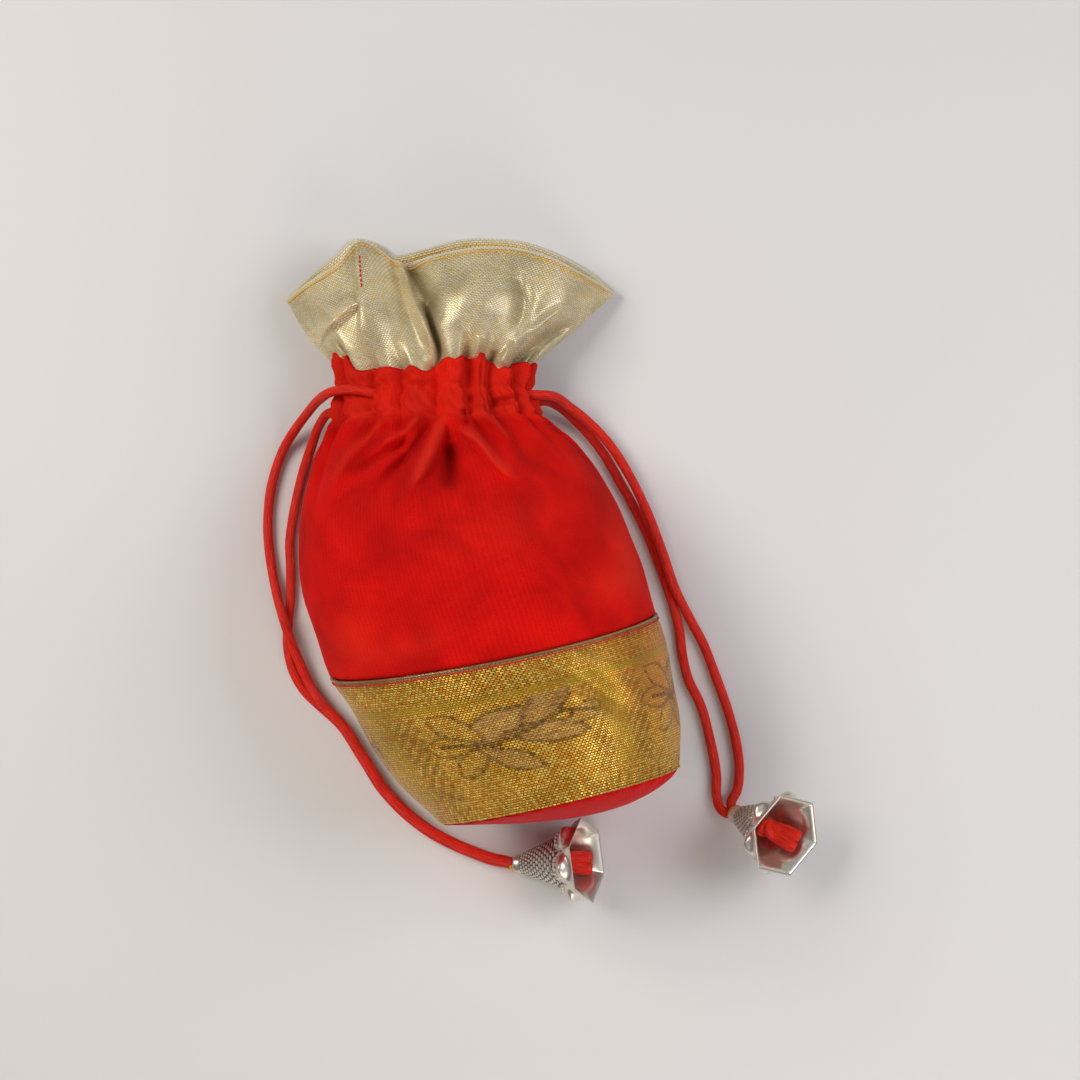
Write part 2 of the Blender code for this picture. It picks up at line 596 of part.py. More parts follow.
def main():
    clear_scene()
    parts = make_collection("potli_bag")
    cutters = make_collection("joining_shapes")
    make_velvet_body(parts)
    make_brocade_band(parts)
    make_satin_base(parts)
    make_frill(parts)
    cord = make_material("satin_cord", (0.60, 0.012, 0.010), 0.38, 0.0)
    make_strand("left_front_strand", LEFT_FRONT_ROUTE, parts, cord)
    make_strand("left_back_strand", LEFT_BACK_ROUTE, parts, cord)
    make_strand("right_outer_strand", RIGHT_OUTER_ROUTE, parts, cord)
    make_strand("right_inner_strand", RIGHT_INNER_ROUTE, parts, cord)
    silver = make_material("cast_silver", (0.72, 0.70, 0.67), 0.30, 1.0)
    for side, place in (("left", LEFT_BELL_PLACE), ("right", RIGHT_BELL_PLACE)):
        bell = add_object(f"{side}_bell", make_bell_mesh(f"{side}_bell"), parts, silver)
        bell.matrix_world = bell_matrix(place) @ Matrix.Rotation(math.radians(place[3]), 4, "X")
        make_knot(f"{side}_knot", place, parts, cutters, cord)


main()
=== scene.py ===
import math

import bmesh
import bpy
import numpy as np
from mathutils import Matrix, Vector


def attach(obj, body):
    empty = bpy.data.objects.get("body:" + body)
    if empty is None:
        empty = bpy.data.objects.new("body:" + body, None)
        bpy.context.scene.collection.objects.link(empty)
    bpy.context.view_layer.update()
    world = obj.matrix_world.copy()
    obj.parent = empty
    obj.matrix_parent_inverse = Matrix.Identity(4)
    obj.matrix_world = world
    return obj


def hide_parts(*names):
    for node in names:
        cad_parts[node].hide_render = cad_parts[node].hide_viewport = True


# Potli bag: a velvet drawstring gift pouch with a brocade band, a tissue frill and bell caps on its cords.
# Lengths in the tables are in mm. The bag lies on its back: +Y runs from base to mouth, +Z is up.

mm = 0.001
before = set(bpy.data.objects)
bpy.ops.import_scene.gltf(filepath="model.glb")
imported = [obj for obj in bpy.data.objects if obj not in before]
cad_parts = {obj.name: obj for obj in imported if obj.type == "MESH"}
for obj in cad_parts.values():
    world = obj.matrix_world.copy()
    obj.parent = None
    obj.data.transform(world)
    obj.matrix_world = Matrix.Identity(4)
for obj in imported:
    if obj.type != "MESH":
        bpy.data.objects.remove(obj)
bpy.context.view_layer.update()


def srgb(hexText):
    # sRGB hex to the linear colour that shaders take
    out = []
    for i in (0, 2, 4):
        c = int(hexText[i:i + 2], 16) / 255
        out.append(c / 12.92 if c <= 0.04045 else ((c + 0.055) / 1.055) ** 2.4)
    return (*out, 1.0)


def smoothThrough(keys, at):
    table = np.array(keys, dtype=float)
    knots, values = table[:, 0], table[:, 1:]
    slopes = np.gradient(values, knots, axis=0)
    at = np.clip(np.asarray(at, dtype=float), knots[0], knots[-1])
    i = np.clip(np.searchsorted(knots, at, side="right") - 1, 0, len(knots) - 2)
    span = (knots[i + 1] - knots[i])[..., None]
    t = (at - knots[i])[..., None] / span
    rise = (2 * t**3 - 3 * t**2 + 1) * values[i] + (3 * t**2 - 2 * t**3) * values[i + 1]
    bend = (t**3 - 2 * t**2 + t) * slopes[i] + (t**3 - t**2) * slopes[i + 1]
    return rise + bend * span


def smoothStep(low, high, value):
    t = np.clip((np.asarray(value, dtype=float) - low) / (high - low), 0.0, 1.0)
    return t * t * (3.0 - 2.0 * t)


def bump(distance, reach):
    return np.exp(-((distance / reach) ** 2))


def turnApart(a, b):
    return (a - b + math.pi) % (2 * math.pi) - math.pi


def smoothPath(points, step):
    # a smooth curve through points, with a point every step mm
    points = np.array(points, dtype=float)
    steps = np.concatenate([[0.0], np.cumsum(np.linalg.norm(np.diff(points, axis=0), axis=1))])
    count = max(4, int(round(steps[-1] / step)))
    return smoothThrough(np.column_stack([steps, points]), np.linspace(0.0, steps[-1], count + 1))


foldHeight = 1.6   # the listed heights of the front's and the frill's folds are multiplied by this


def foldLift(x, y, folds, scale=1.0):
    # how far folds lift the cloth: each is a line in plan, its height (a minus sign for a crease) and its
    # reach in mm to the left and to the right of someone walking along the line
    places = np.stack([x, y], axis=1)
    lift = np.zeros(len(places))
    for line, height, left, right in folds:
        path = smoothPath(line, 2.0)
        steps = np.diff(path, axis=0)
        lengths = np.hypot(steps[:, 0], steps[:, 1])
        nearest, side, along, before = (np.full(len(places), 1e9), np.zeros(len(places)),
                                        np.zeros(len(places)), 0.0)
        for start, step, length in zip(path[:-1], steps, lengths):
            away = places - start
            t = np.clip(away @ step / length**2, 0.0, 1.0)
            offset = away - np.outer(t, step)
            distance = np.hypot(offset[:, 0], offset[:, 1])
            closer = distance < nearest
            nearest = np.where(closer, distance, nearest)
            side = np.where(closer, step[0] * offset[:, 1] - step[1] * offset[:, 0], side)
            along = np.where(closer, before + t * length, along)
            before += length
        share = along / before
        taper = smoothStep(-0.12, 0.2, share) * (1.0 - smoothStep(0.6, 1.0, share))
        lift += height * taper * bump(nearest, np.where(side > 0.0, left, right))
    return lift * scale


def addMesh(name, points, faces, material, uvs=None, smooth=True):
    # uvs: one (u, v) in mm for each corner of each face
    mesh = bpy.data.meshes.new(name)
    mesh.from_pydata([tuple(p) for p in np.asarray(points) * mm], [], faces)
    if uvs is not None:
        layer = mesh.uv_layers.new(name="clothUv")
        layer.data.foreach_set("uv", np.asarray(uvs, dtype=np.float32).ravel())
    if smooth:
        mesh.shade_smooth()
    item = bpy.data.objects.new(name, mesh)
    item.data.materials.append(material)
    bpy.context.scene.collection.objects.link(item)
    return item


def addTube(name, rings, material, uPlaces, vPlaces, closed=False, capped=False):
    # rings: equal rings of points in mm; uPlaces: u of each point round a ring and of the first one again;
    # vPlaces: v of each ring
    rings = np.asarray(rings)
    rows, columns = rings.shape[:2]
    faces, corners = [], []
    for row in range(rows if closed else rows - 1):
        low, high = row * columns, ((row + 1) % rows) * columns
        vLow, vHigh = vPlaces[row], vPlaces[(row + 1) % rows]
        for column in range(columns):
            after = (column + 1) % columns
            faces.append((low + column, low + after, high + after, high + column))
            uLow, uHigh = uPlaces[column], uPlaces[column + 1]
            corners += [(uLow, vLow), (uHigh, vLow), (uHigh, vHigh), (uLow, vHigh)]
    points = rings.reshape(-1, 3)
    if capped:
        for row, first in ((0, True), (rows - 1, False)):
            centre = len(points)
            points = np.vstack([points, rings[row].mean(axis=0)])
            for column in range(columns):
                a, b = row * columns + column, row * columns + (column + 1) % columns
                faces.append((b, a, centre) if first else (a, b, centre))
                corners += [(uPlaces[column], vPlaces[row])] * 3
    item = addMesh(name, points, faces, material, corners)
    shape = bmesh.new()
    shape.from_mesh(item.data)
    bmesh.ops.recalc_face_normals(shape, faces=shape.faces)
    shape.to_mesh(item.data)
    shape.free()
    return item


def tubeRings(points, radii, sides, flatness=0.0):
    # rings square to a path, carried along it without twist
    points = np.asarray(points)
    tangents = np.gradient(points, axis=0)
    tangents /= np.linalg.norm(tangents, axis=1, keepdims=True)
    side = np.cross(tangents[0], (0.0, 0.0, 1.0))
    side /= np.linalg.norm(side)
    turn = 2 * math.pi * np.arange(sides) / sides
    rings = []
    for point, tangent, radius in zip(points, tangents, radii):
        side = side - tangent * side.dot(tangent)
        side /= np.linalg.norm(side)
        up = np.cross(side, tangent)
        rings.append(point + radius * (np.outer(np.cos(turn), side) * (1.0 + flatness)
                                       + np.outer(np.sin(turn), up) * (1.0 - flatness)))
    return np.array(rings)


def addStitches(name, path, pitch, length, thick, material):
    # a row of short stitches along a path, each a grain of thread with rounded ends
    path = np.asarray(path)
    steps = np.concatenate([[0.0], np.cumsum(np.linalg.norm(np.diff(path, axis=0), axis=1))])
    points, faces = [], []
    for middle in np.arange(pitch, steps[-1] - pitch, pitch):
        at = middle + np.linspace(-0.5, 0.5, 5) * length
        line = np.stack([np.interp(at, steps, path[:, k]) for k in range(3)], axis=1)
        first = len(points) * 6
        for ring in tubeRings(line, thick * np.array([0.25, 0.85, 1.0, 0.85, 0.25]), 6):
            points.append(ring)
        for row in range(4):
            for k in range(6):
                a, b = first + row * 6 + k, first + row * 6 + (k + 1) % 6
                faces.append((a, b, b + 6, a + 6))
        faces.append(tuple(first + k for k in range(5, -1, -1)))
        faces.append(tuple(first + 24 + k for k in range(6)))
    return addMesh(name, np.concatenate(points), faces, material)


def paint(item, name, values):
    layer = item.data.attributes.new(name, "FLOAT", "POINT")
    layer.data.foreach_set("value", np.asarray(values, dtype=np.float32).ravel())


def dress(piece, body, *replaced, slot=None):
    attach(piece, body)
    if replaced:
        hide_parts(*replaced)
    return piece


def startMaterial(name):
    material = bpy.data.materials.new(name)
    material.use_nodes = True
    material.node_tree.nodes.clear()
    return material, material.node_tree


def addNode(tree, kind, inputs=None, **settings):
    # one node: its settings, and for each input a value or the output that feeds it
    node = tree.nodes.new(kind)
    for name, value in settings.items():
        setattr(node, name, value)
    for key, value in (inputs or {}).items():
        if isinstance(value, bpy.types.NodeSocket):
            tree.links.new(value, node.inputs[key])
        else:
            node.inputs[key].default_value = value
    return node


def finishMaterial(tree, shading, height=None, strength=0.5, distance=0.0002, invert=False):
    shader = addNode(tree, "ShaderNodeBsdfPrincipled", shading)
    if height is not None:
        relief = addNode(tree, "ShaderNodeBump",
                         {"Strength": strength, "Distance": distance, "Height": height}, invert=invert)
        tree.links.new(relief.outputs[0], shader.inputs["Normal"])
    addNode(tree, "ShaderNodeOutputMaterial", {"Surface": shader.outputs[0]})


waveUnit = 2 * math.pi / 20   # a wave texture of scale 1 repeats after this length

velvet = {
    # the pale red is painted sheen and the dark red painted shade; deep and bright are the pile's own tones
    "deep": "bc0200", "bright": "e20a02", "sheenBloom": "f83a20", "crease": "8c0000",
    "pileGrain": 0.35,    # mm, one tuft of pile
    "ribSpacing": 1.1,    # mm, rows of pile in the ground weave
    "crushSize": 18.0,    # mm, patches where the pile lies over
    "sheen": 0.4,
}


def makeVelvet():
    # silk velvet, woven pile: deep saturated red face on, a soft pale painted sheen where the pile is seen
    # edge on, and painted shade in the creases
    material, tree = startMaterial("redPileVelvet")
    place = addNode(tree, "ShaderNodeUVMap", uv_map="clothUv").outputs[0]
    # painted sheen: paler red on fold crests, over the heading and on patches of lying pile
    sheenBloom = addNode(tree, "ShaderNodeAttribute", attribute_name="paintedPileSheen")
    crush = addNode(tree, "ShaderNodeTexNoise", {"Vector": place, "Scale": 1 / velvet["crushSize"],
                                                 "Detail": 4.0, "Roughness": 0.55, "Distortion": 0.4})
    tufts = addNode(tree, "ShaderNodeTexNoise", {"Vector": place, "Scale": 1 / velvet["pileGrain"],
                                                 "Detail": 2.0})
    ribs = addNode(tree, "ShaderNodeTexWave", {"Vector": place, "Scale": waveUnit / velvet["ribSpacing"],
                                               "Distortion": 1.0, "Detail": 2.0, "Detail Scale": 0.4},
                   bands_direction="X")
    grain = addNode(tree, "ShaderNodeMix", {0: 0.12, 2: tufts.outputs[0], 3: ribs.outputs["Fac"]})
    shade = addNode(tree, "ShaderNodeMapRange", {"Value": grain.outputs[0], "From Min": 0.25,
                                                 "From Max": 0.75, "To Min": 0.74, "To Max": 1.16})
    tone = addNode(tree, "ShaderNodeMapRange", {"Value": crush.outputs[0], "From Min": 0.36,
                                                "From Max": 0.66})
    face = addNode(tree, "ShaderNodeMix", {0: tone.outputs[0], 6: srgb(velvet["deep"]),
                                           7: srgb(velvet["bright"])}, data_type="RGBA")
    piled = addNode(tree, "ShaderNodeMix", {0: 1.0, 6: face.outputs[2], 7: shade.outputs[0]},
                    data_type="RGBA", blend_type="MULTIPLY")
    pale = addNode(tree, "ShaderNodeMix", {0: sheenBloom.outputs["Fac"], 6: piled.outputs[2],
                                           7: srgb(velvet["sheenBloom"])}, data_type="RGBA")
    # painted shade: the creases of the front's folds darkened towards a deeper red
    crease = addNode(tree, "ShaderNodeAttribute", attribute_name="creaseShade")
    colour = addNode(tree, "ShaderNodeMix", {0: crease.outputs["Fac"], 6: pale.outputs[2],
                                             7: srgb(velvet["crease"])}, data_type="RGBA")
    finishMaterial(tree, {"Base Color": colour.outputs[2], "Roughness": 0.85, "IOR": 1.46,
                          "Specular IOR Level": 0.15, "Sheen Weight": velvet["sheen"], "Sheen Roughness": 0.38,
                          "Sheen Tint": srgb("ff2c14")}, grain.outputs[0], 0.6, 0.0006)
    return material


satin = {"face": "d40406", "shade": "b00205", "lineSpacing": 2.2}   # spacing along u, as the lines slant


def makeSatin():
    # polyester satin, float weave: smooth red cloth with a soft gloss across fine slanting lines
    material, tree = startMaterial("redSatinWeave")
    place = addNode(tree, "ShaderNodeUVMap", uv_map="clothUv").outputs[0]
    # along u a diagonal wave repeats after twice waveUnit
    lines = addNode(tree, "ShaderNodeTexWave", {"Vector": place, "Scale": 2 * waveUnit / satin["lineSpacing"],
                                                "Distortion": 1.5, "Detail": 2.0}, bands_direction="DIAGONAL")
    uneven = addNode(tree, "ShaderNodeTexNoise", {"Vector": place, "Scale": 0.9, "Detail": 4.0})
    tone = addNode(tree, "ShaderNodeMix", {0: 0.6, 2: lines.outputs["Fac"], 3: uneven.outputs[0]})
    colour = addNode(tree, "ShaderNodeMix", {0: tone.outputs[0], 6: srgb(satin["shade"]),
                                             7: srgb(satin["face"])}, data_type="RGBA")
    finishMaterial(tree, {"Base Color": colour.outputs[2], "Roughness": 0.6, "IOR": 1.5,
                          "Specular IOR Level": 0.1}, tone.outputs[0], 0.15, 0.0002)
    return material


tissue = {
    # each crossing takes a tone between thread and bright at random, the brightest as painted glints; crease
    # is painted shade
    "thread": "f6e4a6", "bright": "fffae0", "ground": "c4a05c", "turned": "f2e6c8", "crease": "806228",
    "cell": (1.1, 0.66),   # mm, one crossing of the metallic weft; the real 0.8 mm is drawn a little coarse
    "gap": 0.15,
}


def makeTissue():
    # zari tissue, metallic weft woven on pale silk: champagne cloth with rows of small bright glints, painted
    # into the colour of its brightest crossings, under slow mottles of painted light and shade
    material, tree = startMaterial("champagneTissueWeave")
    place = addNode(tree, "ShaderNodeUVMap", uv_map="clothUv").outputs[0]
    edge = addNode(tree, "ShaderNodeAttribute", attribute_name="turnedEdge").outputs["Fac"]
    threads = addNode(tree, "ShaderNodeTexBrick",
                      {"Vector": place, "Color1": srgb(tissue["thread"]), "Color2": srgb(tissue["bright"]),
                       "Mortar": srgb(tissue["ground"]), "Scale": 1.0, "Mortar Size": tissue["gap"],
                       "Mortar Smooth": 1.0, "Brick Width": tissue["cell"][0],
                       "Row Height": tissue["cell"][1]})
    # painted light and shade: slow mottles brighten and darken the cloth
    cloud = addNode(tree, "ShaderNodeTexNoise", {"Vector": place, "Scale": 0.08, "Detail": 4.0})
    cloudShade = addNode(tree, "ShaderNodeMapRange", {"Value": cloud.outputs[0], "From Min": 0.36,
                                                      "From Max": 0.6, "To Min": 0.78, "To Max": 1.02})
    clouded = addNode(tree, "ShaderNodeMix", {0: 1.0, 6: threads.outputs["Color"], 7: cloudShade.outputs[0]},
                      data_type="RGBA", blend_type="MULTIPLY")
    turned = addNode(tree, "ShaderNodeMix", {0: edge, 6: clouded.outputs[2], 7: srgb(tissue["turned"])},
                     data_type="RGBA")
    # painted shade: the creases of the front's folds darkened towards brown
    crease = addNode(tree, "ShaderNodeAttribute", attribute_name="creaseShade")
    colour = addNode(tree, "ShaderNodeMix", {0: crease.outputs["Fac"], 6: turned.outputs[2],
                                             7: srgb(tissue["crease"])}, data_type="RGBA")
    metal = addNode(tree, "ShaderNodeMapRange", {"Value": edge, "To Min": 0.38, "To Max": 0.0})
    glint = addNode(tree, "ShaderNodeTexNoise", {"Vector": place, "Scale": 1.3, "Detail": 2.0,
                                                 "Roughness": 0.7})
    rough = addNode(tree, "ShaderNodeMapRange", {"Value": glint.outputs[0], "To Min": 0.1, "To Max": 0.6})
    finishMaterial(tree, {"Base Color": colour.outputs[2], "Metallic": metal.outputs[0],
                          "Roughness": rough.outputs[0]}, threads.outputs["Fac"], 0.8, 0.00035, invert=True)
    return material


brocade = {
    # each crossing takes a tone between gold and bright at random, the brightest as painted glints
    "gold": "e89a14", "bright": "ffe066", "ground": "96520c", "float": "986c3c", "floatBright": "dab46a",
    "outline": "5c3810", "copper": "d27420", "olive": "b8921c", "hem": "a37e52",
    "cell": (1.05, 0.72),   # mm, one crossing of the gilt weft
    "gap": 0.2,
}


def makeBrocade():
    # zari brocade, gilt weft floated on a red-brown warp: yellow gold dots, the brightest of them painted
    # glints, dark gaps and dull brown floats, under slow mottles of painted light and shade
    material, tree = startMaterial("giltZariBrocade")
    place = addNode(tree, "ShaderNodeUVMap", uv_map="clothUv").outputs[0]
    mark = {name: addNode(tree, "ShaderNodeAttribute", attribute_name=name).outputs["Fac"]
            for name in ("floats", "outlines", "ribs", "copperWarp", "turnedEdge")}
    threads = addNode(tree, "ShaderNodeTexBrick",
                      {"Vector": place, "Color1": srgb(brocade["gold"]), "Color2": srgb(brocade["bright"]),
                       "Mortar": srgb(brocade["ground"]), "Scale": 1.0, "Mortar Size": brocade["gap"],
                       "Mortar Smooth": 1.0, "Brick Width": brocade["cell"][0],
                       "Row Height": brocade["cell"][1]})
    floats = addNode(tree, "ShaderNodeTexBrick",
                     {"Vector": place, "Color1": srgb(brocade["float"]),
                      "Color2": srgb(brocade["floatBright"]), "Mortar": srgb(brocade["ground"]),
                      "Scale": 1.0, "Mortar Size": 0.09, "Mortar Smooth": 0.6,
                      "Brick Width": 2.3, "Row Height": 0.4})
    colour = threads.outputs["Color"]
    for factor, over in (("copperWarp", srgb(brocade["copper"])), ("floats", floats.outputs["Color"]),
                         ("ribs", srgb(brocade["olive"])), ("outlines", srgb(brocade["outline"])),
                         ("turnedEdge", srgb(brocade["hem"]))):
        colour = addNode(tree, "ShaderNodeMix", {0: mark[factor], 6: colour, 7: over},
                         data_type="RGBA").outputs[2]
    # painted light and shade: slow mottles brighten and darken the band
    cloud = addNode(tree, "ShaderNodeTexNoise", {"Vector": place, "Scale": 0.09, "Detail": 4.0})
    cloudShade = addNode(tree, "ShaderNodeMapRange", {"Value": cloud.outputs[0], "From Min": 0.3,
                                                      "From Max": 0.7, "To Min": 0.82, "To Max": 1.12})
    shaded = addNode(tree, "ShaderNodeMix", {0: 1.0, 6: colour, 7: cloudShade.outputs[0]},
                     data_type="RGBA", blend_type="MULTIPLY")
    metal = addNode(tree, "ShaderNodeMapRange", {"Value": mark["floats"], "To Min": 0.6, "To Max": 0.3})
    rough = addNode(tree, "ShaderNodeTexNoise", {"Vector": place, "Scale": 1.1, "Detail": 2.5,
                                                 "Roughness": 0.75})
    gloss = addNode(tree, "ShaderNodeMapRange", {"Value": rough.outputs[0], "To Min": 0.06, "To Max": 0.66})
    finishMaterial(tree, {"Base Color": shaded.outputs[2], "Metallic": metal.outputs[0],
                          "Roughness": gloss.outputs[0]}, threads.outputs["Fac"], 0.8, 0.0004, invert=True)
    return material


cordGirth = 9.4   # mm round the 3 mm cord
rattail = {"face": "f22c14", "shade": "c01208", "fibres": 15.0}


def makeCordSatin():
    # rattail, satin floss wound close over a core: smooth red cord with fine long streaks and a silky gloss
    material, tree = startMaterial("redRattailSatin")
    place = addNode(tree, "ShaderNodeUVMap", uv_map="clothUv").outputs[0]
    stretched = addNode(tree, "ShaderNodeMapping",
                        {0: place, "Scale": (rattail["fibres"] / cordGirth, 0.14, 1.0),
                         "Rotation": (0.0, 0.0, 0.03)})
    streaks = addNode(tree, "ShaderNodeTexNoise", {"Vector": stretched.outputs[0], "Scale": 1.6,
                                                   "Detail": 3.0, "Roughness": 0.65})
    tone = addNode(tree, "ShaderNodeMapRange", {"Value": streaks.outputs[0], "From Min": 0.34,
                                                "From Max": 0.62})
    colour = addNode(tree, "ShaderNodeMix", {0: tone.outputs[0], 6: srgb(rattail["shade"]),
                                             7: srgb(rattail["face"])}, data_type="RGBA")
    finishMaterial(tree, {"Base Color": colour.outputs[2], "Roughness": 0.45, "IOR": 1.5,
                          "Specular IOR Level": 0.25}, streaks.outputs[0], 0.9, 0.0006)
    return material


silver = {"face": "e6e1d6", "tarnish": "4a3f32"}


def makeSilver():
    # white metal, cast and silver plated: bright soft gloss on the high places, brown tarnish in the hollows
    material, tree = startMaterial("castSilverPlate")
    place = addNode(tree, "ShaderNodeTexCoord").outputs["Object"]
    hollow = addNode(tree, "ShaderNodeAttribute", attribute_name="hollow").outputs["Fac"]
    blotch = addNode(tree, "ShaderNodeTexNoise", {"Vector": place, "Scale": 240.0, "Detail": 5.0,
                                                  "Roughness": 0.65})
    dirt = addNode(tree, "ShaderNodeMapRange", {"Value": blotch.outputs[0], "From Min": 0.45, "From Max": 1.0,
                                                "To Min": 0.0, "To Max": 0.35})
    worn = addNode(tree, "ShaderNodeMath", {0: hollow, 1: dirt.outputs[0]}, operation="ADD", use_clamp=True)
    colour = addNode(tree, "ShaderNodeMix", {0: worn.outputs[0], 6: srgb(silver["face"]),
                                             7: srgb(silver["tarnish"])}, data_type="RGBA")
    rough = addNode(tree, "ShaderNodeMapRange", {"Value": worn.outputs[0], "To Min": 0.34, "To Max": 0.65})
    finishMaterial(tree, {"Base Color": colour.outputs[2], "Metallic": 1.0, "Roughness": rough.outputs[0]},
                   blotch.outputs[0], 0.2, 0.0001)
    return material


def makeThread(name, faceHex, shadeHex, metallic, roughness):
    # sewing thread, twisted and waxed: short strokes that catch the light one by one
    material, tree = startMaterial(name)
    place = addNode(tree, "ShaderNodeTexCoord").outputs["Object"]
    twist = addNode(tree, "ShaderNodeTexNoise", {"Vector": place, "Scale": 900.0, "Detail": 2.0})
    colour = addNode(tree, "ShaderNodeMix", {0: twist.outputs[0], 6: srgb(shadeHex), 7: srgb(faceHex)},
                     data_type="RGBA")
    finishMaterial(tree, {"Base Color": colour.outputs[2], "Metallic": metallic, "Roughness": roughness},
                   twist.outputs[0], 0.5, 0.0001)
    return material


velvetCloth = makeVelvet()
satinCloth = makeSatin()
tissueCloth = makeTissue()
brocadeCloth = makeBrocade()
cordSatin = makeCordSatin()
castSilver = makeSilver()
redThread = makeThread("redCottonThread", "e01c18", "a80c0c", 0.0, 0.6)
goldThread = makeThread("giltMetallicThread", "ffcf3a", "d89a1c", 0.35, 0.35)
selvageYarn = makeThread("selvageGiltYarn", "e0b850", "8c6420", 0.6, 0.4)
print("materials made")


view = {"roll": 17.6, "tip": 6.0, "lens": 85.0, "at": (-6.80, -61.86, 795.81)}   # degrees and mm


def placeCamera():
    roll, tip = math.radians(view["roll"]), math.radians(view["tip"])
    right = Vector((math.cos(roll), -math.sin(roll), 0.0))
    along = Vector((math.sin(roll), math.cos(roll), 0.0))
    away = -math.sin(tip) * along + math.cos(tip) * Vector((0, 0, 1))
    up = math.cos(tip) * along + math.sin(tip) * Vector((0, 0, 1))
    data = bpy.data.cameras.new("photoView")
    data.lens = view["lens"]
    data.sensor_width = 36.0
    data.clip_start = 0.01
    data.clip_end = 20.0
    camera = bpy.data.objects.new("photoView", data)
    place = Matrix((right, up, away)).transposed().to_4x4()
    place.translation = Vector(view["at"]) * mm
    camera.matrix_world = place
    bpy.context.scene.collection.objects.link(camera)
    bpy.context.scene.camera = camera


lamps = [   # name, place in mm, side in mm, watts, colour
    ("keySoftbox", (-420.0, 380.0, 620.0), 420.0, 4.2, "fff8ee"),
    ("fillSoftbox", (520.0, -60.0, 520.0), 420.0, 2.2, "f6f8ff"),
    ("lowSoftbox", (60.0, -560.0, 300.0), 360.0, 1.2, "fff4ea"),
]


def placeLamps():
    for name, place, side, watts, colour in lamps:
        data = bpy.data.lights.new(name, "AREA")
        data.shape = "SQUARE"
        data.size = side * mm
        data.energy = watts
        data.color = srgb(colour)[:3]
        lamp = bpy.data.objects.new(name, data)
        lamp.location = Vector(place) * mm
        aim = Vector((0.0, 0.02, 0.02)) - lamp.location
        lamp.rotation_euler = aim.to_track_quat("-Z", "Y").to_euler()
        bpy.context.scene.collection.objects.link(lamp)
    world = bpy.data.worlds.new("studioRoom")
    world.use_nodes = True
    tree = world.node_tree
    tree.nodes.clear()
    around = addNode(tree, "ShaderNodeTexCoord").outputs["Generated"]
    height = addNode(tree, "ShaderNodeSeparateXYZ", {0: around}).outputs[2]
    shade = addNode(tree, "ShaderNodeMapRange", {"Value": height, "From Min": 0.35, "From Max": 1.0,
                                                 "To Min": 0.25, "To Max": 0.8})
    room = addNode(tree, "ShaderNodeBackground", {"Color": shade.outputs[0], "Strength": 0.42})
    addNode(tree, "ShaderNodeOutputWorld", {"Surface": room.outputs[0]})
    bpy.context.scene.world = world


def layFloor():
    material, tree = startMaterial("matPaperFloor")
    finishMaterial(tree, {"Base Color": srgb("dcdbdb"), "Roughness": 0.9, "Specular IOR Level": 0.2})
    size = 3000.0
    corners = [(-size, -size, 0.0), (size, -size, 0.0), (size, size, 0.0), (-size, size, 0.0)]
    addMesh("floor", corners, [(0, 1, 2, 3)], material, smooth=False)


placeCamera()
placeLamps()
layFloor()
bpy.context.scene.view_settings.view_transform = "Standard"
print("camera, lamps and floor placed")


cordSize = {"diameter": 3.0, "sides": 20, "step": 0.6}
routes = {
    "left_front_strand": [
        (-20.3, 75.5, 24.8), (-25.0, 77.5, 25.0), (-29.5, 78.4, 22.9), (-34.0, 78.2, 17.5),
        (-38.5, 76.6, 11.5), (-43.5, 74.0, 6.2), (-49.2, 69.8, 2.6), (-55.8, 61.0, 1.7),
        (-61.0, 49.4, 1.7), (-64.0, 36.0, 1.9), (-64.9, 26.6, 3.6), (-65.1, 18.6, 5.0),
        (-65.0, 11.0, 5.0), (-64.4, 3.6, 3.8), (-63.4, -3.6, 3.8), (-61.2, -11.0, 5.0),
        (-57.2, -19.0, 5.0), (-54.2, -29.4, 5.0), (-50.6, -42.0, 5.0), (-44.4, -53.6, 5.0),
        (-37.9, -61.4, 5.0), (-30.8, -67.8, 5.0), (-25.0, -72.1, 5.0), (-21.35, -74.15, 4.65),
    ],
    "left_back_strand": [
        (-31.8, 74.1, 12.7), (-36.4, 72.2, 8.6), (-40.6, 67.6, 4.6), (-45.8, 60.9, 1.9), (-52.5, 49.2, 1.6),
        (-56.2, 41.4, 1.6), (-58.8, 32.0, 1.6), (-61.6, 23.3, 1.6), (-64.4, 16.6, 1.6), (-66.6, 9.6, 1.6),
        (-67.3, 2.6, 1.6), (-65.8, -4.8, 1.6), (-62.2, -11.6, 1.6), (-58.0, -19.0, 1.6), (-55.0, -29.6, 1.6),
        (-51.4, -42.4, 1.6), (-45.1, -54.2, 1.6), (-38.5, -62.1, 1.6), (-31.2, -68.6, 1.6),
        (-25.4, -72.9, 1.6), (-21.75, -74.85, 1.7),
    ],
    "right_outer_strand": [
        (31.3, 59.2, 17.1), (35.8, 57.6, 15.0), (39.8, 53.4, 10.4), (43.6, 48.6, 6.6), (47.5, 41.2, 5.0),
        (51.0, 28.6, 5.0), (53.0, 13.8, 5.0), (53.6, 2.0, 5.0), (53.8, -9.0, 4.2), (55.4, -19.6, 2.4),
        (57.1, -28.8, 1.7), (57.7, -40.0, 1.7), (58.0, -50.5, 1.7), (57.4, -60.8, 1.7), (55.6, -69.6, 1.8),
        (52.8, -75.4, 2.4), (50.0, -78.2, 3.4),
    ],
    "right_inner_strand": [
        (27.8, 58.0, 12.2), (32.6, 57.8, 10.9), (36.4, 55.4, 7.6), (40.2, 50.4, 3.6), (44.8, 40.6, 1.7),
        (48.0, 27.0, 1.6), (50.8, 11.8, 1.6), (51.6, -1.0, 1.6), (51.9, -12.0, 1.6), (51.3, -22.4, 1.6),
        (49.8, -30.4, 1.6), (49.3, -38.4, 1.6), (50.4, -46.0, 1.6), (49.9, -57.8, 1.6), (48.4, -68.8, 1.7),
        (46.4, -75.4, 2.2), (46.3, -78.8, 2.9), (47.6, -80.8, 3.4),
    ],
}
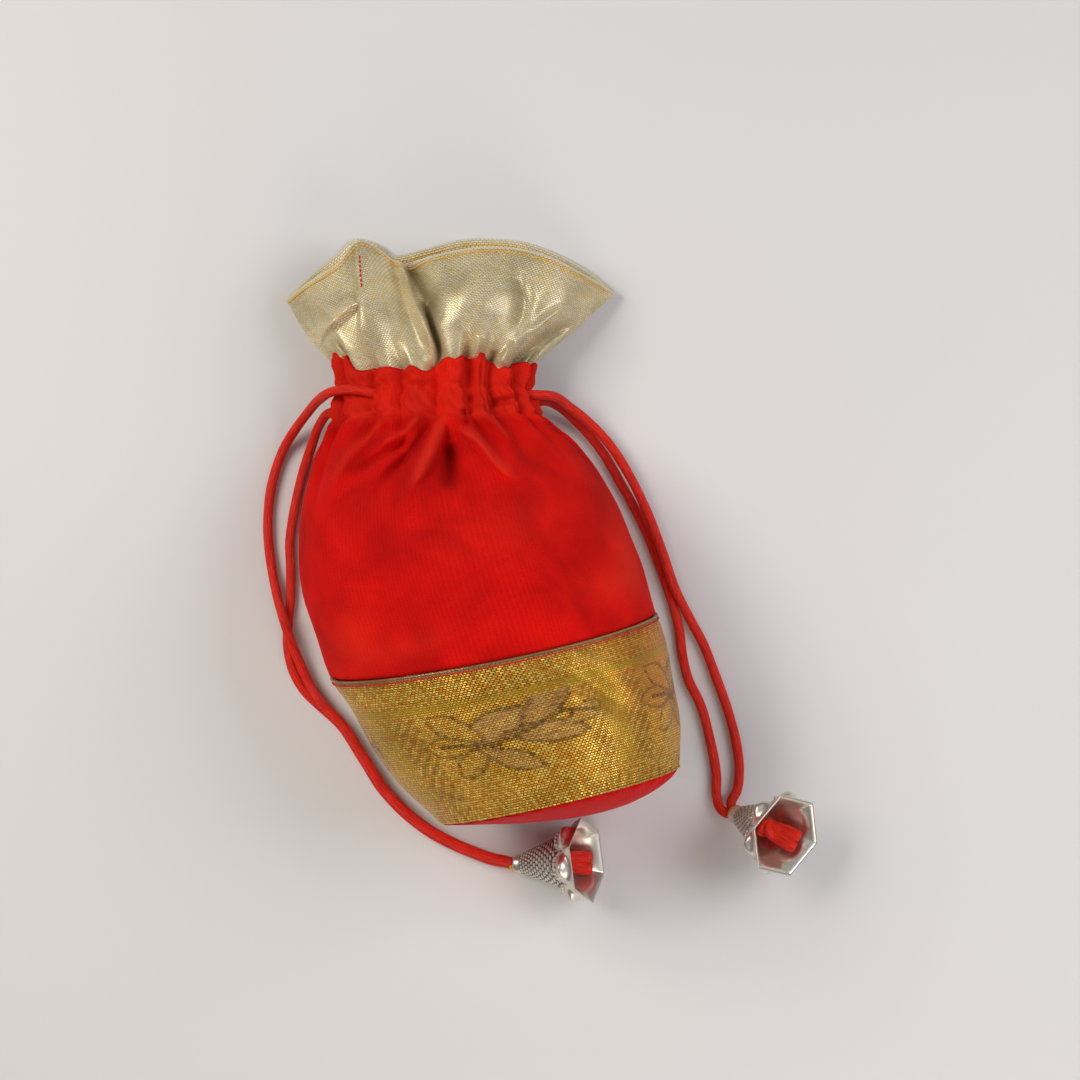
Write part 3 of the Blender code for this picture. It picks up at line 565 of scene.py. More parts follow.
# how each strand goes on inside the channel before it shows, and into the bell cap's collar
hiddenStarts = {
    "left_front_strand": [(-12.6, 71.6, 21.6), (-16.6, 73.6, 23.4)],
    "left_back_strand": [(-25.4, 70.4, 14.2), (-28.6, 72.4, 13.6)],
    "right_outer_strand": [(23.4, 61.6, 16.8), (27.4, 60.4, 17.2)],
    "right_inner_strand": [(20.0, 59.0, 13.4), (23.8, 58.4, 12.8)],
}
hiddenEnds = {
    "left_front_strand": [(-19.9, -75.2, 4.2), (-17.3, -76.2, 3.9)],
    "left_back_strand": [(-20.1, -75.6, 2.7), (-17.4, -76.5, 3.2)],
    "right_outer_strand": [(49.6, -80.9, 4.3), (50.9, -82.5, 6.2)],
    "right_inner_strand": [(49.2, -81.5, 4.3), (50.6, -82.9, 6.0)],
}


def makeCord(name, route):
    points = smoothPath(hiddenStarts[name] + route + hiddenEnds[name], cordSize["step"])
    place = np.arange(len(points)) * cordSize["step"]
    radii = cordSize["diameter"] / 2 * (1.0 + 0.02 * np.sin(place / 3.1) + 0.01 * np.sin(place / 1.7 + 1.0))
    radii *= 1.0 - 0.34 * smoothStep(place[-1] - 5.0, place[-1] - 1.5, place)   # pulled together in the collar
    rings = tubeRings(points, radii, cordSize["sides"])
    rings[:, :, 2] = np.maximum(rings[:, :, 2], 0.05)
    around = np.linspace(0.0, math.pi * cordSize["diameter"], cordSize["sides"] + 1)
    item = addTube(name + "_satin", rings, cordSatin, around, place, capped=True)
    dress(item, "bag", name, slot="cord")


for strandName, strandRoute in routes.items():
    makeCord(strandName, strandRoute)
print("cords laid")


# middle line Y and X, half width, top and bottom height, turn about Z in degrees, lean of the top
bagSections = [
    (-59.7, -0.2, 36.3, 72.0, -1.0, 4.4, 3.0),
    (-47.0, -1.6, 42.2, 73.5, -1.2, 4.5, 3.8),
    (-34.5, -3.0, 45.6, 73.5, -1.3, 4.6, 4.8),
    (-21.0, -3.8, 47.8, 73.0, -1.3, 5.2, 6.2),
    (-11.8, -5.4, 49.4, 72.0, -1.3, 6.2, 7.2),
    (0.0, -5.5, 50.0, 70.5, -1.3, 7.0, 6.8),
    (13.0, -5.8, 50.2, 67.0, -1.3, 8.0, 5.6),
    (27.0, -4.9, 48.5, 60.5, -1.2, 9.2, 4.2),
    (40.5, -3.4, 44.4, 50.5, -0.6, 10.8, 2.8),
    (52.0, -2.2, 38.2, 39.0, 1.4, 13.0, 1.6),
    (59.5, -1.4, 32.6, 31.0, 3.4, 15.4, 0.8),
    (65.0, -1.1, 29.6, 27.0, 5.0, 16.6, 0.4),
    (69.5, 0.1, 28.9, 26.0, 5.6, 17.4, 0.0),
    (76.0, 2.2, 29.4, 27.0, 5.0, 17.6, 0.0),
    (84.0, 4.8, 31.0, 27.0, 4.0, 17.6, 0.0),
]
bag = {
    "baseY": -59.7, "hemY": -11.8, "lowerStitchY": 62.0, "channelHeight": 8.5, "headingHeight": 5.5,
    "pleats": 18, "gatherDepth": 1.7, "headingRuffle": 2.3, "headingLift": 1.9, "girth": 268.0,
}
channelTop = bag["lowerStitchY"] + bag["channelHeight"]
headingTop = channelTop + bag["headingHeight"]


def columnTurns(columns):
    turn = np.arange(columns) / columns
    uneven = 0.010 * np.sin(2 * math.pi * 3 * turn + 0.6) + 0.006 * np.sin(2 * math.pi * 7 * turn + 1.9)
    return turn, 2 * math.pi * (turn + uneven)


def gatherWave(turn):
    # crests are round and valleys narrow, and no two gathers are alike
    valley = (1.0 - np.cos(2 * math.pi * bag["pleats"] * turn + 0.7 * np.sin(2 * math.pi * 4 * turn))) / 2
    uneven = 1.0 + 0.26 * np.sin(2 * math.pi * 5 * turn + 0.4) + 0.18 * np.sin(2 * math.pi * 9 * turn + 2.2)
    return (1.0 - 2.0 * valley**1.7) * uneven


# folds round the sides and the back: where each starts and ends round the bag (degrees, 90 is the middle of
# the front) and along it (mm), its depth and its width (mm)
sideFolds = [
    (150.0, 62.0, 174.0, 46.0, 1.6, 2.8), (28.0, 62.0, 8.0, 44.0, 1.6, 2.8),
    (-30.0, 62.0, -22.0, 40.0, 1.8, 3.2), (-60.0, 61.0, -50.0, 34.0, 2.4, 4.0),
    (-90.0, 61.0, -92.0, 36.0, 2.0, 4.0), (-122.0, 61.0, -134.0, 36.0, 2.4, 4.0),
    (-152.0, 61.0, -160.0, 40.0, 1.8, 3.2),
]
# folds on the front, drawn in plan: line, height, reach to its left and to its right
frontFolds = [
    ([(2, 61), (-2, 53), (-9, 44), (-18, 36)], 2.8, 1.3, 3.3),
    ([(3, 55), (6, 51), (9, 46), (11, 40), (14, 34), (20, 28)], 2.2, 3.0, 1.3),
    ([(9, 60), (14, 55), (17, 48), (19, 41)], 1.5, 2.2, 1.8),
    ([(22, 58), (30, 50), (34, 37), (36, 23), (37, 15)], 1.2, 3.4, 3.4),
    ([(-5, 62), (-12, 58), (-17, 56), (-22, 53)], 1.8, 1.6, 2.0),
    ([(-12, 65), (-22, 61), (-30, 56), (-36, 49), (-41, 40)], 1.5, 2.0, 2.4),
    ([(-16, 68), (-27, 68), (-36, 66)], 1.2, 2.0, 2.0),
    ([(0, 51), (-1, 46), (-2, 41), (-5, 32)], -3.6, 2.6, 2.4),
    ([(-2, 61), (-9, 53), (-20, 46), (-28, 39)], -2.0, 1.4, 1.4),
    ([(-11, 57), (-19, 53), (-29, 51), (-32, 49)], -1.8, 1.3, 1.3),
    ([(1, 40), (3, 35), (2, 30), (-2, 27)], -1.2, 3.0, 3.0),
    ([(15, 60), (19, 60), (23, 59)], -1.5, 1.2, 1.2),
    ([(7, 61), (7, 57), (6, 53)], -1.8, 0.9, 0.9),
    ([(26, 57), (34, 46), (39, 30), (42, 14)], -1.0, 2.4, 2.4),
]


def sideRelief(y, angles):
    relief = np.zeros_like(angles)
    widthHere = max(float(smoothThrough(bagSections, y)[1]), 1.0)
    for start, startY, end, endY, depth, width in sideFolds:
        along = (startY - y) / (startY - endY)
        if along < -0.5 or along > 1.0:
            continue
        middle = math.radians(start + (end - start) * max(along, 0.0))
        apart = turnApart(angles, middle)
        reach = width * (0.7 + 0.8 * max(along, 0.0)) / widthHere
        strength = math.sin(math.pi * (along + 0.5) / 1.5) ** 1.5
        relief -= depth * strength * bump(apart, reach * 0.85)
        banks = bump(apart - reach * 1.9, reach) + bump(apart + reach * 1.9, reach)
        relief += 0.28 * depth * strength * banks
    return relief


def bagRing(y, inset, angles, relief=0.0, along=0.0):
    cx, half, top, bottom, turn, lean = smoothThrough(bagSections, y)
    middle, high = (top + bottom) / 2, (top - bottom) / 2
    out = relief - inset
    wide = (half + out) * np.cos(angles)
    up = (high + out) * np.sin(angles)
    turn = math.radians(turn)
    x = cx + wide * math.cos(turn) + along * math.sin(turn)
    back = y - wide * math.sin(turn) - lean * np.sin(angles) + along * math.cos(turn)
    z = np.maximum(middle + up, max(inset, 0.0) + 0.02)
    return np.stack([x, back, z], axis=1)


def neckRelief(y, angles, wave):
    fade = float(smoothStep(26.0, bag["lowerStitchY"], y))
    ruffle = float(smoothStep(channelTop, headingTop, y))
    share = (y - bag["lowerStitchY"]) / bag["channelHeight"]
    puff = 0.9 * math.sin(math.pi * share) if 0.0 < share < 1.0 else 0.0
    depth = bag["gatherDepth"] * fade**2 + (bag["headingRuffle"] - bag["gatherDepth"]) * ruffle
    return depth * wave + puff + sideRelief(y, angles)


# how high the heading's puffs stand along the front: x and rise (mm)
headingPuffs = [(-36, 0.5), (-31, 2.0), (-23, 2.4), (-21.5, -0.6), (-17, -0.4), (-14, -1.2), (-9, -0.8),
                (-4, -0.9), (-0.5, -2.4), (2.5, 0.2), (5.5, 1.9), (8.2, 0.9), (10.5, 2.4), (14, 3.6),
                (18, 2.8), (21, 0.6), (23.5, -1.0), (27, 1.4), (31, 0.8), (36, 0.0)]


def headingLift(y, angles, wave):
    front = smoothStep(0.0, 0.3, np.sin(angles))
    puffs = smoothThrough(headingPuffs, 29.0 * np.cos(angles) + 1.5)[:, 0]
    rise = front * (puffs + 0.35 * wave) + (1.0 - front) * bag["headingLift"] * wave
    return rise * float(smoothStep(channelTop - 1.0, headingTop, y))


def softNoise(angles, y, seed=0.0):
    # slow uneven waves, the same each run
    a = np.sin(3 * angles + 0.11 * y + seed) + 0.7 * np.sin(5 * angles - 0.17 * y + 2.1 + seed)
    b = 0.5 * np.sin(11 * angles + 0.31 * y + 0.7 * seed) + 0.35 * np.sin(17 * angles - 0.23 * y + 1.3)
    return (a + b) / 2.5


velvetMesh = {"columns": 576, "bodyStep": 1.2, "foldStep": 0.75, "neckStep": 0.5, "wrinkle": 0.3}
# soft pale patches of painted sheen where the pile lies over: x and y of the middle, reach across and along
# (mm), strength
pilePatches = [(41, 2, 5, 12, 0.35), (34, -6, 9, 5, 0.25), (-44, 0, 7, 9, 0.25), (-30, -7, 12, 4, 0.15),
               (8, 18, 22, 9, 0.10)]


def makeVelvetBody():
    turn, angles = columnTurns(velvetMesh["columns"])
    wave = gatherWave(turn)
    rows = list(np.arange(-10.8, 8.0, velvetMesh["bodyStep"])) \
        + list(np.arange(8.0, 48.0, velvetMesh["foldStep"])) \
        + list(np.arange(48.0, headingTop, velvetMesh["neckStep"])) + [headingTop]
    rings, places, sheenBlooms, creases = [], [], [], []
    for y in (-21.8, -16.0, -12.0, -11.2):
        rings.append(bagRing(y, 1.7, angles))
        places.append(y)
        sheenBlooms.append(np.zeros_like(angles))
        creases.append(np.zeros_like(angles))
    onFront = smoothStep(0.0, 0.4, np.sin(angles))
    for y in rows:
        fine = velvetMesh["wrinkle"] * softNoise(angles, y) * float(smoothStep(-10.0, 6.0, y))
        sew = 0.8 * float(bump(y - bag["lowerStitchY"], 0.8)) + 0.6 * float(bump(y - channelTop, 0.8))
        shirr = 0.35 * np.cos(2 * math.pi * bag["pleats"] * 3 * turn + 1.0) * float(smoothStep(54.0, 62.0, y))
        crumple = 0.5 * np.sin(23 * angles + 0.9 * y) * np.sin(9 * angles - 0.5 * y) \
            + 0.3 * np.sin(47 * angles - 1.3 * y)
        relief = neckRelief(y, angles, wave) + fine - sew + shirr + crumple * float(smoothStep(57.0, 64.0, y))
        ring = bagRing(y, 0.05, angles, relief, headingLift(y, angles, wave))
        plain = bagRing(y, 0.05, angles)
        lift = np.zeros_like(angles)
        if 5.0 < y < 72.0:
            lift = foldLift(plain[:, 0], plain[:, 1], frontFolds, foldHeight) * onFront
        ring[:, 2] += lift
        # painted sheen on the fold crests and over the heading, painted shade in the creases
        sheenBloom = 0.4 * smoothStep(0.9, 3.6, lift) + 0.3 * float(smoothStep(58.0, 64.0, y))
        creases.append(np.clip(-lift / 7.0, 0.0, 0.55))
        for x, patchY, wide, long, strength in pilePatches:
            sheenBloom = sheenBloom + strength * bump(plain[:, 0] - x, wide) * bump(plain[:, 1] - patchY, long) \
                * onFront
        rings.append(ring)
        places.append(y)
        sheenBlooms.append(np.clip(sheenBloom, 0.0, 1.0))
    top = neckRelief(headingTop, angles, wave)
    rise = headingLift(headingTop, angles, wave)
    for depth, back in ((0.25, 0.5), (0.75, 0.75), (1.2, 0.5), (1.45, 0.0)):
        rings.append(bagRing(headingTop, 0.05 + depth, angles, top, rise + back))
        places.append(headingTop + depth)
    for y in np.arange(headingTop - 0.8, channelTop - 3.0, -0.8):
        rings.append(bagRing(y, 1.5, angles, neckRelief(y, angles, wave), headingLift(y, angles, wave)))
        places.append(2 * headingTop - y)
    inside = [np.zeros_like(angles)] * (len(rings) - len(sheenBlooms))
    around = np.linspace(0.0, bag["girth"], len(angles) + 1)
    item = addTube("velvet_pouch", rings, velvetCloth, around, places)
    paint(item, "paintedPileSheen", np.concatenate(sheenBlooms + inside))
    paint(item, "creaseShade", np.concatenate(creases + inside))
    dress(item, "bag", "velvet_body", slot="velvet")


makeVelvetBody()
print("velvet sewn")


band = {"columns": 760, "step": 0.45, "hem": 0.7}
# one repeat of the woven border, in mm: a spray of pointed leaves on a stem. Each leaf: middle, half length,
# half width, turn in degrees, how full it is of dull floats. Plus x lies to the left on the front
motif = {"repeat": 67.0, "middle": 25.5, "leaves": [
    (-1.0, 2.5, 10.5, 4.4, 158.0, 0.9), (-13.0, 7.0, 8.0, 3.8, 128.0, 0.9),
    (-12.5, -3.0, 8.5, 3.4, 192.0, 0.8), (11.0, 4.5, 7.5, 3.6, 34.0, 0.0),
    (14.5, -1.5, 7.0, 3.2, 4.0, 0.0), (10.0, -8.0, 7.0, 3.2, -32.0, 0.0),
    (-2.0, -9.0, 7.5, 3.0, 214.0, 0.7), (-22.0, 1.0, 5.5, 2.8, 160.0, 0.5),
]}


def lineMask(u, v, points, width):
    # soft mask of a line through points in mm
    mask = np.zeros_like(u)
    for (ax, ay), (bx, by) in zip(points[:-1], points[1:]):
        dx, dy = bx - ax, by - ay
        t = np.clip(((u - ax) * dx + (v - ay) * dy) / (dx * dx + dy * dy), 0.0, 1.0)
        distance = np.hypot(u - ax - t * dx, v - ay - t * dy)
        mask = np.maximum(mask, 1.0 - smoothStep(width * 0.5, width * 0.5 + 0.5, distance))
    return mask


def leafMask(u, v, cx, cy, long, wide, turn):
    # pointed leaf: what it covers, its edge and its veins
    c, s = math.cos(math.radians(turn)), math.sin(math.radians(turn))
    a = ((u - cx) * c + (v - cy) * s) / long
    b = (-(u - cx) * s + (v - cy) * c) / wide
    edge = np.abs(b) + a * a * (0.85 + 0.25 * np.clip(a, -1.2, 1.2))
    veins = bump(b, 0.10) + bump(((a * 3.0 + np.abs(b)) % 1.0) - 0.5, 0.16) * 0.5
    return 1.0 - smoothStep(0.86, 1.0, edge), bump(edge - 1.0, 0.15), veins * (edge < 0.85)


def weaveMarks(u, v):
    # floats, dark outlines and olive ribs over the band, u round it and v up it from the base edge; all but
    # the ribs keep to the weave's cells, so edges climb in steps as they do in a jacquard
    wide, high = brocade["cell"]
    row = np.floor(v / high)
    shift = np.where(row % 2 == 0, 0.5 * wide, 0.0)
    cellU = (np.floor((u + shift) / wide) + 0.5) * wide - shift
    cellV = (row + 0.5) * high
    half = motif["repeat"] / 2
    start = bag["girth"] * 0.283 - half   # so the dull leaves lie in the middle of the front
    x = (cellU - start) % motif["repeat"] - half
    y = cellV - motif["middle"]
    floats, lines = np.zeros_like(u), np.zeros_like(u)
    for cx, cy, long, broad, turn, full in motif["leaves"]:
        fill, line, veins = leafMask(x, y, cx, cy, long, broad, turn)
        floats = np.maximum(floats * (1.0 - fill), fill * full * (1.0 - 0.7 * np.clip(veins, 0, 1)))
        lines = np.maximum(lines * (1.0 - fill), line)
    stalk = [(16, -1), (8, -2), (1, -3.5), (-7, -1), (-15, 2.5), (-24, 0.5)]
    lines = np.maximum(lines, lineMask(x, y, stalk, 0.8))
    broken = 0.5 + 0.5 * np.sin(cellU * 2.9 + cellV * 4.1)
    lines = lines * (0.5 + 0.4 * broken)
    inField = smoothStep(6.5, 7.5, cellV) * (1.0 - smoothStep(34.5, 35.5, cellV))
    upright = 1.0 - smoothStep(4.2, 5.0, np.abs(np.abs(x) - half + 1.0))
    onRight = np.cos(2 * math.pi * u / bag["girth"]) > 0.25
    fan = np.abs(((x + y * 0.9) % 3.4) - 1.7) / 1.7
    slant = (1.0 - smoothStep(0.35, 0.6, fan)) * smoothStep(19.0, 21.0, np.abs(x)) * (1.0 - upright) * 0.4
    lines = np.maximum(lines, slant * (1.0 - floats)) * inField
    dotRows = np.zeros_like(u)
    for low, top in ((38.4, 46.4), (0.0, 6.4)):
        dotRows = np.maximum(dotRows, ((cellV > low) & (cellV < top)) * (np.floor(row) % 2))
    gaps = (np.floor((cellU + 2 * shift) / wide) % 2) * dotRows
    lines = np.maximum(lines, 0.35 * dotRows * (1.0 - gaps))
    phase = np.where(onRight, u + 0.8 * v, u)
    rib = 0.5 + 0.5 * np.sin(2 * math.pi * phase / np.where(onRight, 2.4, 1.7))
    plainStrip = smoothStep(35.4, 35.9, v) * (1.0 - smoothStep(38.0, 38.5, v))
    ribs = np.maximum(upright * inField * rib, plainStrip * (0.55 + 0.45 * rib))
    return np.clip(floats * inField, 0, 1), np.clip(lines, 0, 1), np.clip(ribs * 0.85, 0, 1)


def bandRelief(y, angles):
    # the strip sits a little proud of the velvet, puckers at its seams and has one soft crease
    pucker = 0.16 * np.sin(61 * angles + 0.4 * y) + 0.12 * np.sin(37 * angles - 0.3 * y + 1.0)
    seam = float(bump(y - bag["baseY"], 4.0)) + 0.7 * float(bump(y - bag["hemY"] + 3.0, 3.0))
    dent = -1.5 * bump(turnApart(angles, math.radians(58 + (y + 30) * 0.9)), 0.10) \
        * float(bump(y + 28.0, 10.0))
    ridge = 0.9 * bump(turnApart(angles, math.radians(72 + (y + 30) * 0.9)), 0.09) \
        * float(bump(y + 27.0, 11.0))
    return pucker * seam + dent + ridge + 0.25 * softNoise(angles, y, 2.0)


def makeBrocadeBand():
    turn, angles = columnTurns(band["columns"])
    hemStart = bag["hemY"] - band["hem"]
    rings, places, proud = [bagRing(bag["baseY"], 1.1, angles)], [-0.9], [0.0]
    for y in list(np.arange(bag["baseY"], bag["hemY"], band["step"])) + [bag["hemY"]]:
        hemShare = float(smoothStep(hemStart - 0.5, hemStart, y))
        groove = -0.28 * float(bump(y - hemStart, 0.45))
        rings.append(bagRing(y, 0.0, angles, bandRelief(y, angles) + 0.40 * hemShare + groove))
        places.append(y - bag["baseY"])
        proud.append(hemShare)
    relief = bandRelief(bag["hemY"], angles)
    for depth, back in ((-0.25, 0.25), (0.1, 0.4), (0.6, 0.3), (1.0, 0.0)):
        rings.append(bagRing(bag["hemY"], depth, angles, relief, along=back))
        places.append(bag["hemY"] - bag["baseY"] + 0.4 + depth)
        proud.append(1.0)
    item = addTube("brocade_strip", rings, brocadeCloth,
                   np.linspace(0.0, bag["girth"], len(angles) + 1), places)
    u = np.tile(turn * bag["girth"], len(rings))
    v = np.repeat(places, len(angles))
    for name, mask in zip(("floats", "outlines", "ribs"), weaveMarks(u, v)):
        paint(item, name, mask)
    degrees = np.tile(np.degrees(angles), len(rings))
    paint(item, "copperWarp", 0.55 * (1.0 - smoothStep(30.0, 66.0, degrees)) * smoothStep(8.0, 30.0, v))
    paint(item, "turnedEdge", np.repeat(proud, len(angles)))
    dress(item, "bag", "brocade_band", slot="brocade")
    # red stitches hold the turned hem, and gilt loops of the selvage show along the right of the base edge
    hem = bagRing(hemStart - 0.45, -0.25, angles, bandRelief(hemStart, angles))
    dress(addStitches("hem_stitches", np.vstack([hem, hem[:1]]), 1.6, 1.5, 0.28, redThread), "bag")
    edge = bagRing(bag["baseY"] + 0.3, -0.12, angles, bandRelief(bag["baseY"], angles))
    onRight = (angles > math.radians(-12)) & (angles < math.radians(72))
    dress(addStitches("selvage_loops", edge[onRight], 1.6, 1.25, 0.34, selvageYarn), "bag")


makeBrocadeBand()
print("band sewn")


base = {"columns": 240, "dome": 7.0, "rows": 34, "sag": 0.5}


def makeSatinBase():
    turn, angles = columnTurns(base["columns"])
    ring = bagRing(bag["baseY"], 0.4, angles)
    middle = ring.mean(axis=0)
    rings = [bagRing(bag["baseY"] + 6.0, 1.8, angles), bagRing(bag["baseY"] + 1.0, 1.6, angles)]
    places = [-6.0, -1.0]
    for share in np.linspace(0.0, 1.0, base["rows"]):
        scale = 1.0 - share**1.1
        bulge = base["dome"] * (1.0 - scale**2) ** 0.8 + 0.2
        pucker = 0.35 * np.sin(29 * angles + 2.0 * math.sin(3 * share)) * math.exp(-share * 9.0)
        wrinkle = 0.30 * softNoise(angles, share * 40, 4.0) \
            * math.sin(math.pi * min(1.0, share * 1.3)) * scale
        points = middle + (ring - middle) * max(scale, 0.002)
        sideways = (ring[:, 0] - middle[0]) / np.ptp(ring[:, 0]) * 2 * scale
        points[:, 1] -= bulge * (1.0 + base["sag"] * sideways) + pucker + wrinkle
        points[:, 2] = np.maximum(points[:, 2], 0.42)
        rings.append(points)
        places.append(share * 36.0)
    around = np.linspace(0.0, bag["girth"] * 0.85, len(angles) + 1)
    dress(addTube("satin_dome", rings, satinCloth, around, places), "bag", "satin_base", slot="satin")


makeSatinBase()
print("base sewn")


# the frill's rim: degrees round it, x, y and z
frillRim = [
    (0.0, 64.9, 85.0, 4.6), (22.0, 55.2, 92.6, 15.0), (40.0, 46.6, 99.4, 21.0), (56.0, 36.2, 104.8, 23.5),
    (71.0, 24.4, 108.4, 23.0), (84.0, 12.1, 110.6, 19.0), (94.0, 2.4, 112.8, 12.0), (102.0, -2.0, 118.6, 13.0),
    (110.0, -6.5, 122.2, 18.0), (126.0, -15.2, 117.2, 20.5), (148.0, -25.3, 115.2, 16.0),
    (180.0, -34.8, 113.8, 6.8), (212.0, -25.0, 120.2, 1.2), (234.0, -15.6, 123.8, 0.9),
    (250.0, -7.4, 126.6, 1.2), (259.0, -2.0, 123.0, 1.4), (267.0, 1.2, 118.4, 1.2),
    (280.0, 11.4, 117.2, 0.9), (296.0, 24.8, 116.3, 0.9), (311.0, 39.0, 111.7, 0.9),
    (328.0, 50.2, 104.2, 1.2), (344.0, 59.0, 94.8, 2.2), (360.0, 64.9, 85.0, 4.6),
]
frill = {"columns": 576, "rows": 64, "length": 44.0, "rimDepth": 0.5, "stitchDepth": 1.9, "gapToBack": 0.8}
# folds of the front in plan: line, height, reach to its left and to its right
frillFolds = [
    ([(2, 118), (3, 106), (3, 97), (4, 88), (4, 80), (3, 74)], 2.8, 0.9, 1.7),
    ([(6, 97), (6, 87), (6, 81), (4, 74)], -3.2, 1.0, 0.9),
    ([(5, 112), (7, 103), (8, 95), (7, 86)], -2.6, 2.1, 1.7),
    ([(36, 95), (34, 86), (30, 80), (26, 76)], -1.3, 2.2, 2.8),
    ([(14, 73), (17, 77), (20, 80)], 1.6, 1.3, 1.1),
    ([(19, 72), (21, 74), (22, 76)], -1.5, 0.9, 0.9),
    ([(22, 70), (25, 73), (28, 76)], 1.6, 1.2, 1.2),
    ([(23, 68), (35, 75), (50, 80)], -1.8, 1.6, 1.6),
    ([(29, 75), (40, 80), (52, 84)], 1.6, 2.2, 1.8),
    ([(-8, 122), (-12, 102), (-15, 91), (-17, 79)], 1.3, 7.0, 0.5),
    ([(-12, 102), (-17, 100), (-22, 98), (-25, 97), (-28, 94)], 2.2, 0.9, 2.8),
    ([(-20, 84), (-22, 92), (-23, 104)], 1.2, 2.2, 1.6),
]
# swellings of the front: x, y, reach across and along, height
frillSwells = [(22, 90, 12.5, 14.0, 3.5), (48, 88, 9.0, 8.0, 1.5), (-14, 108, 6.0, 10.0, 0.8)]
# folds of the underside: degrees and share of the height at each end, depth, width
frillBackFolds = [(250.0, 0.0, 256.0, 0.9, 1.2, 4.0), (300.0, 0.0, 306.0, 0.9, 1.2, 4.0)]


def frillRimAt(angles, inset):
    rim = smoothThrough(frillRim, np.degrees(angles) % 360.0)
    spread = rim - np.array([14.0, 100.0, 9.0])
    pull = np.stack([0.35 * np.abs(np.cos(angles)) * spread[:, 0], np.zeros(len(angles)), spread[:, 2]],
                    axis=1)
    length = np.maximum(np.linalg.norm(pull, axis=1, keepdims=True), 1e-6)
    return rim - pull / length * inset


def frillRing(share, inset, angles, wave):
    gathers = wave * (1.0 - 0.85 * float(smoothStep(0.0, 0.34, share)))
    neckRow = bagRing(headingTop, 2.0 + inset, angles, neckRelief(headingTop, angles, gathers),
                      headingLift(headingTop, angles, gathers))
    ease = max(share, 0.0) ** 1.15
    ring = neckRow * (1.0 - ease) + frillRimAt(angles, inset) * ease
    arch = math.sin(math.pi * min(max(share, 0.0), 1.0))
    front = np.sin(angles) > 0.0
    lift = foldLift(ring[:, 0], ring[:, 1], frillFolds, foldHeight)
    for x, y, wide, long, height in frillSwells:
        lift += height * bump(ring[:, 0] - x, wide) * bump(ring[:, 1] - y, long)
    under = np.zeros_like(angles)
    for start, startShare, end, endShare, depth, width in frillBackFolds:
        along = (share - startShare) / (endShare - startShare)
        middle = math.radians(start + (end - start) * along)
        under += depth * bump(turnApart(angles, middle), width / 34.0) * arch
    fold = np.where(front, lift, under) * smoothStep(0.0, 0.12, np.abs(np.sin(angles)))
    fine = 0.22 * softNoise(angles, share * 60.0, 1.0) * arch
    ring[:, 0] += 2.0 * arch * np.cos(angles) * np.abs(np.cos(angles))
    puff = 5.0 * arch * np.clip(np.sin(angles), 0.0, 1.0)
    ring[:, 2] = np.maximum(ring[:, 2] + puff + fold + fine, 0.45 + (inset if share < 0.97 else 0.0))
    return ring


def makeFrill():
    turn, angles = columnTurns(frill["columns"])
    wave = gatherWave(turn)
    rings, places, edge = [], [], []
    for y in (channelTop - 2.0, channelTop + 1.5, headingTop - 1.0):
        rings.append(bagRing(y, 2.0, angles, neckRelief(y, angles, wave), headingLift(y, angles, wave)))
        places.append(y - headingTop)
        edge.append(0.0)
    rimShare = 1.0 - frill["rimDepth"] / frill["length"]
    for share in list(np.linspace(0.0, 0.96, frill["rows"])) + [0.972, 0.980, 0.986, 0.992]:
        rings.append(frillRing(share, 0.0, angles, wave))
        places.append(share * frill["length"])
        edge.append(float(smoothStep(rimShare - 0.008, rimShare + 0.002, share)))
    outerRim = frillRing(1.0, 0.0, angles, wave)
    innerRim = frillRing(1.0, frill["gapToBack"], angles, wave)
    for blend in (0.0, 0.3, 0.7, 1.0):
        rings.append(outerRim * (1.0 - blend) + innerRim * blend)
        places.append(frill["length"] + blend)
        edge.append(1.0)
    for share in np.linspace(0.985, 0.1, 40):
        rings.append(frillRing(share, frill["gapToBack"], angles, wave))
        places.append(frill["length"] * (2.0 - share) + 1.0)
        edge.append(float(smoothStep(rimShare - 0.008, rimShare + 0.002, share)))
    # u is measured on one level ring, so the weave keeps its size and runs straight
    level = frillRing(0.7, 0.0, angles, wave)
    steps = np.linalg.norm(np.diff(np.vstack([level, level[:1]]), axis=0), axis=1)
    around = np.concatenate([[0.0], np.cumsum(steps)])
    item = addTube("tissue_frill", rings, tissueCloth, around, places)
    paint(item, "turnedEdge", np.repeat(edge, len(angles)))
    # painted shade in the creases of the front's folds
    plan = np.concatenate(rings)
    creases = np.clip(-foldLift(plan[:, 0], plan[:, 1], frillFolds) / 4.0, 0.0, 0.8)
    paint(item, "creaseShade", creases * np.tile(np.sin(angles) > 0.0, len(rings)))
    dress(item, "bag", "frill", slot="tissue")
    stitchShare = 1.0 - frill["stitchDepth"] / frill["length"]
    onFront, onBack = (angles > 0.02) & (angles < math.pi), (angles > math.pi) & (angles < 6.25)
    front = frillRing(stitchShare, -0.2, angles, wave)[onFront]
    back = frillRing(stitchShare, frill["gapToBack"] + 0.2, angles, wave)[onBack]
    dress(addStitches("rim_stitches_front", front, 1.3, 1.15, 0.3, goldThread), "bag")
    dress(addStitches("rim_stitches_back", back, 1.3, 1.15, 0.3, goldThread), "bag")
    # red stitches show on the upper part of the lapped seam
    top = np.concatenate(rings[3:3 + frill["rows"]])
    seam = []
    for x, y in smoothPath([(-8.4, 117.0), (-9.8, 111.0), (-11.2, 104.0)], 0.8):
        near = top[np.argsort(np.hypot(top[:, 0] - x, top[:, 1] - y) + 50.0 * (top[:, 2] < 8.0))[:6]]
        seam.append((x, y, near[:, 2].mean() + 0.25))
    dress(addStitches("seam_stitches", seam, 1.7, 1.3, 0.3, redThread), "bag")


makeFrill()
print("frill sewn")


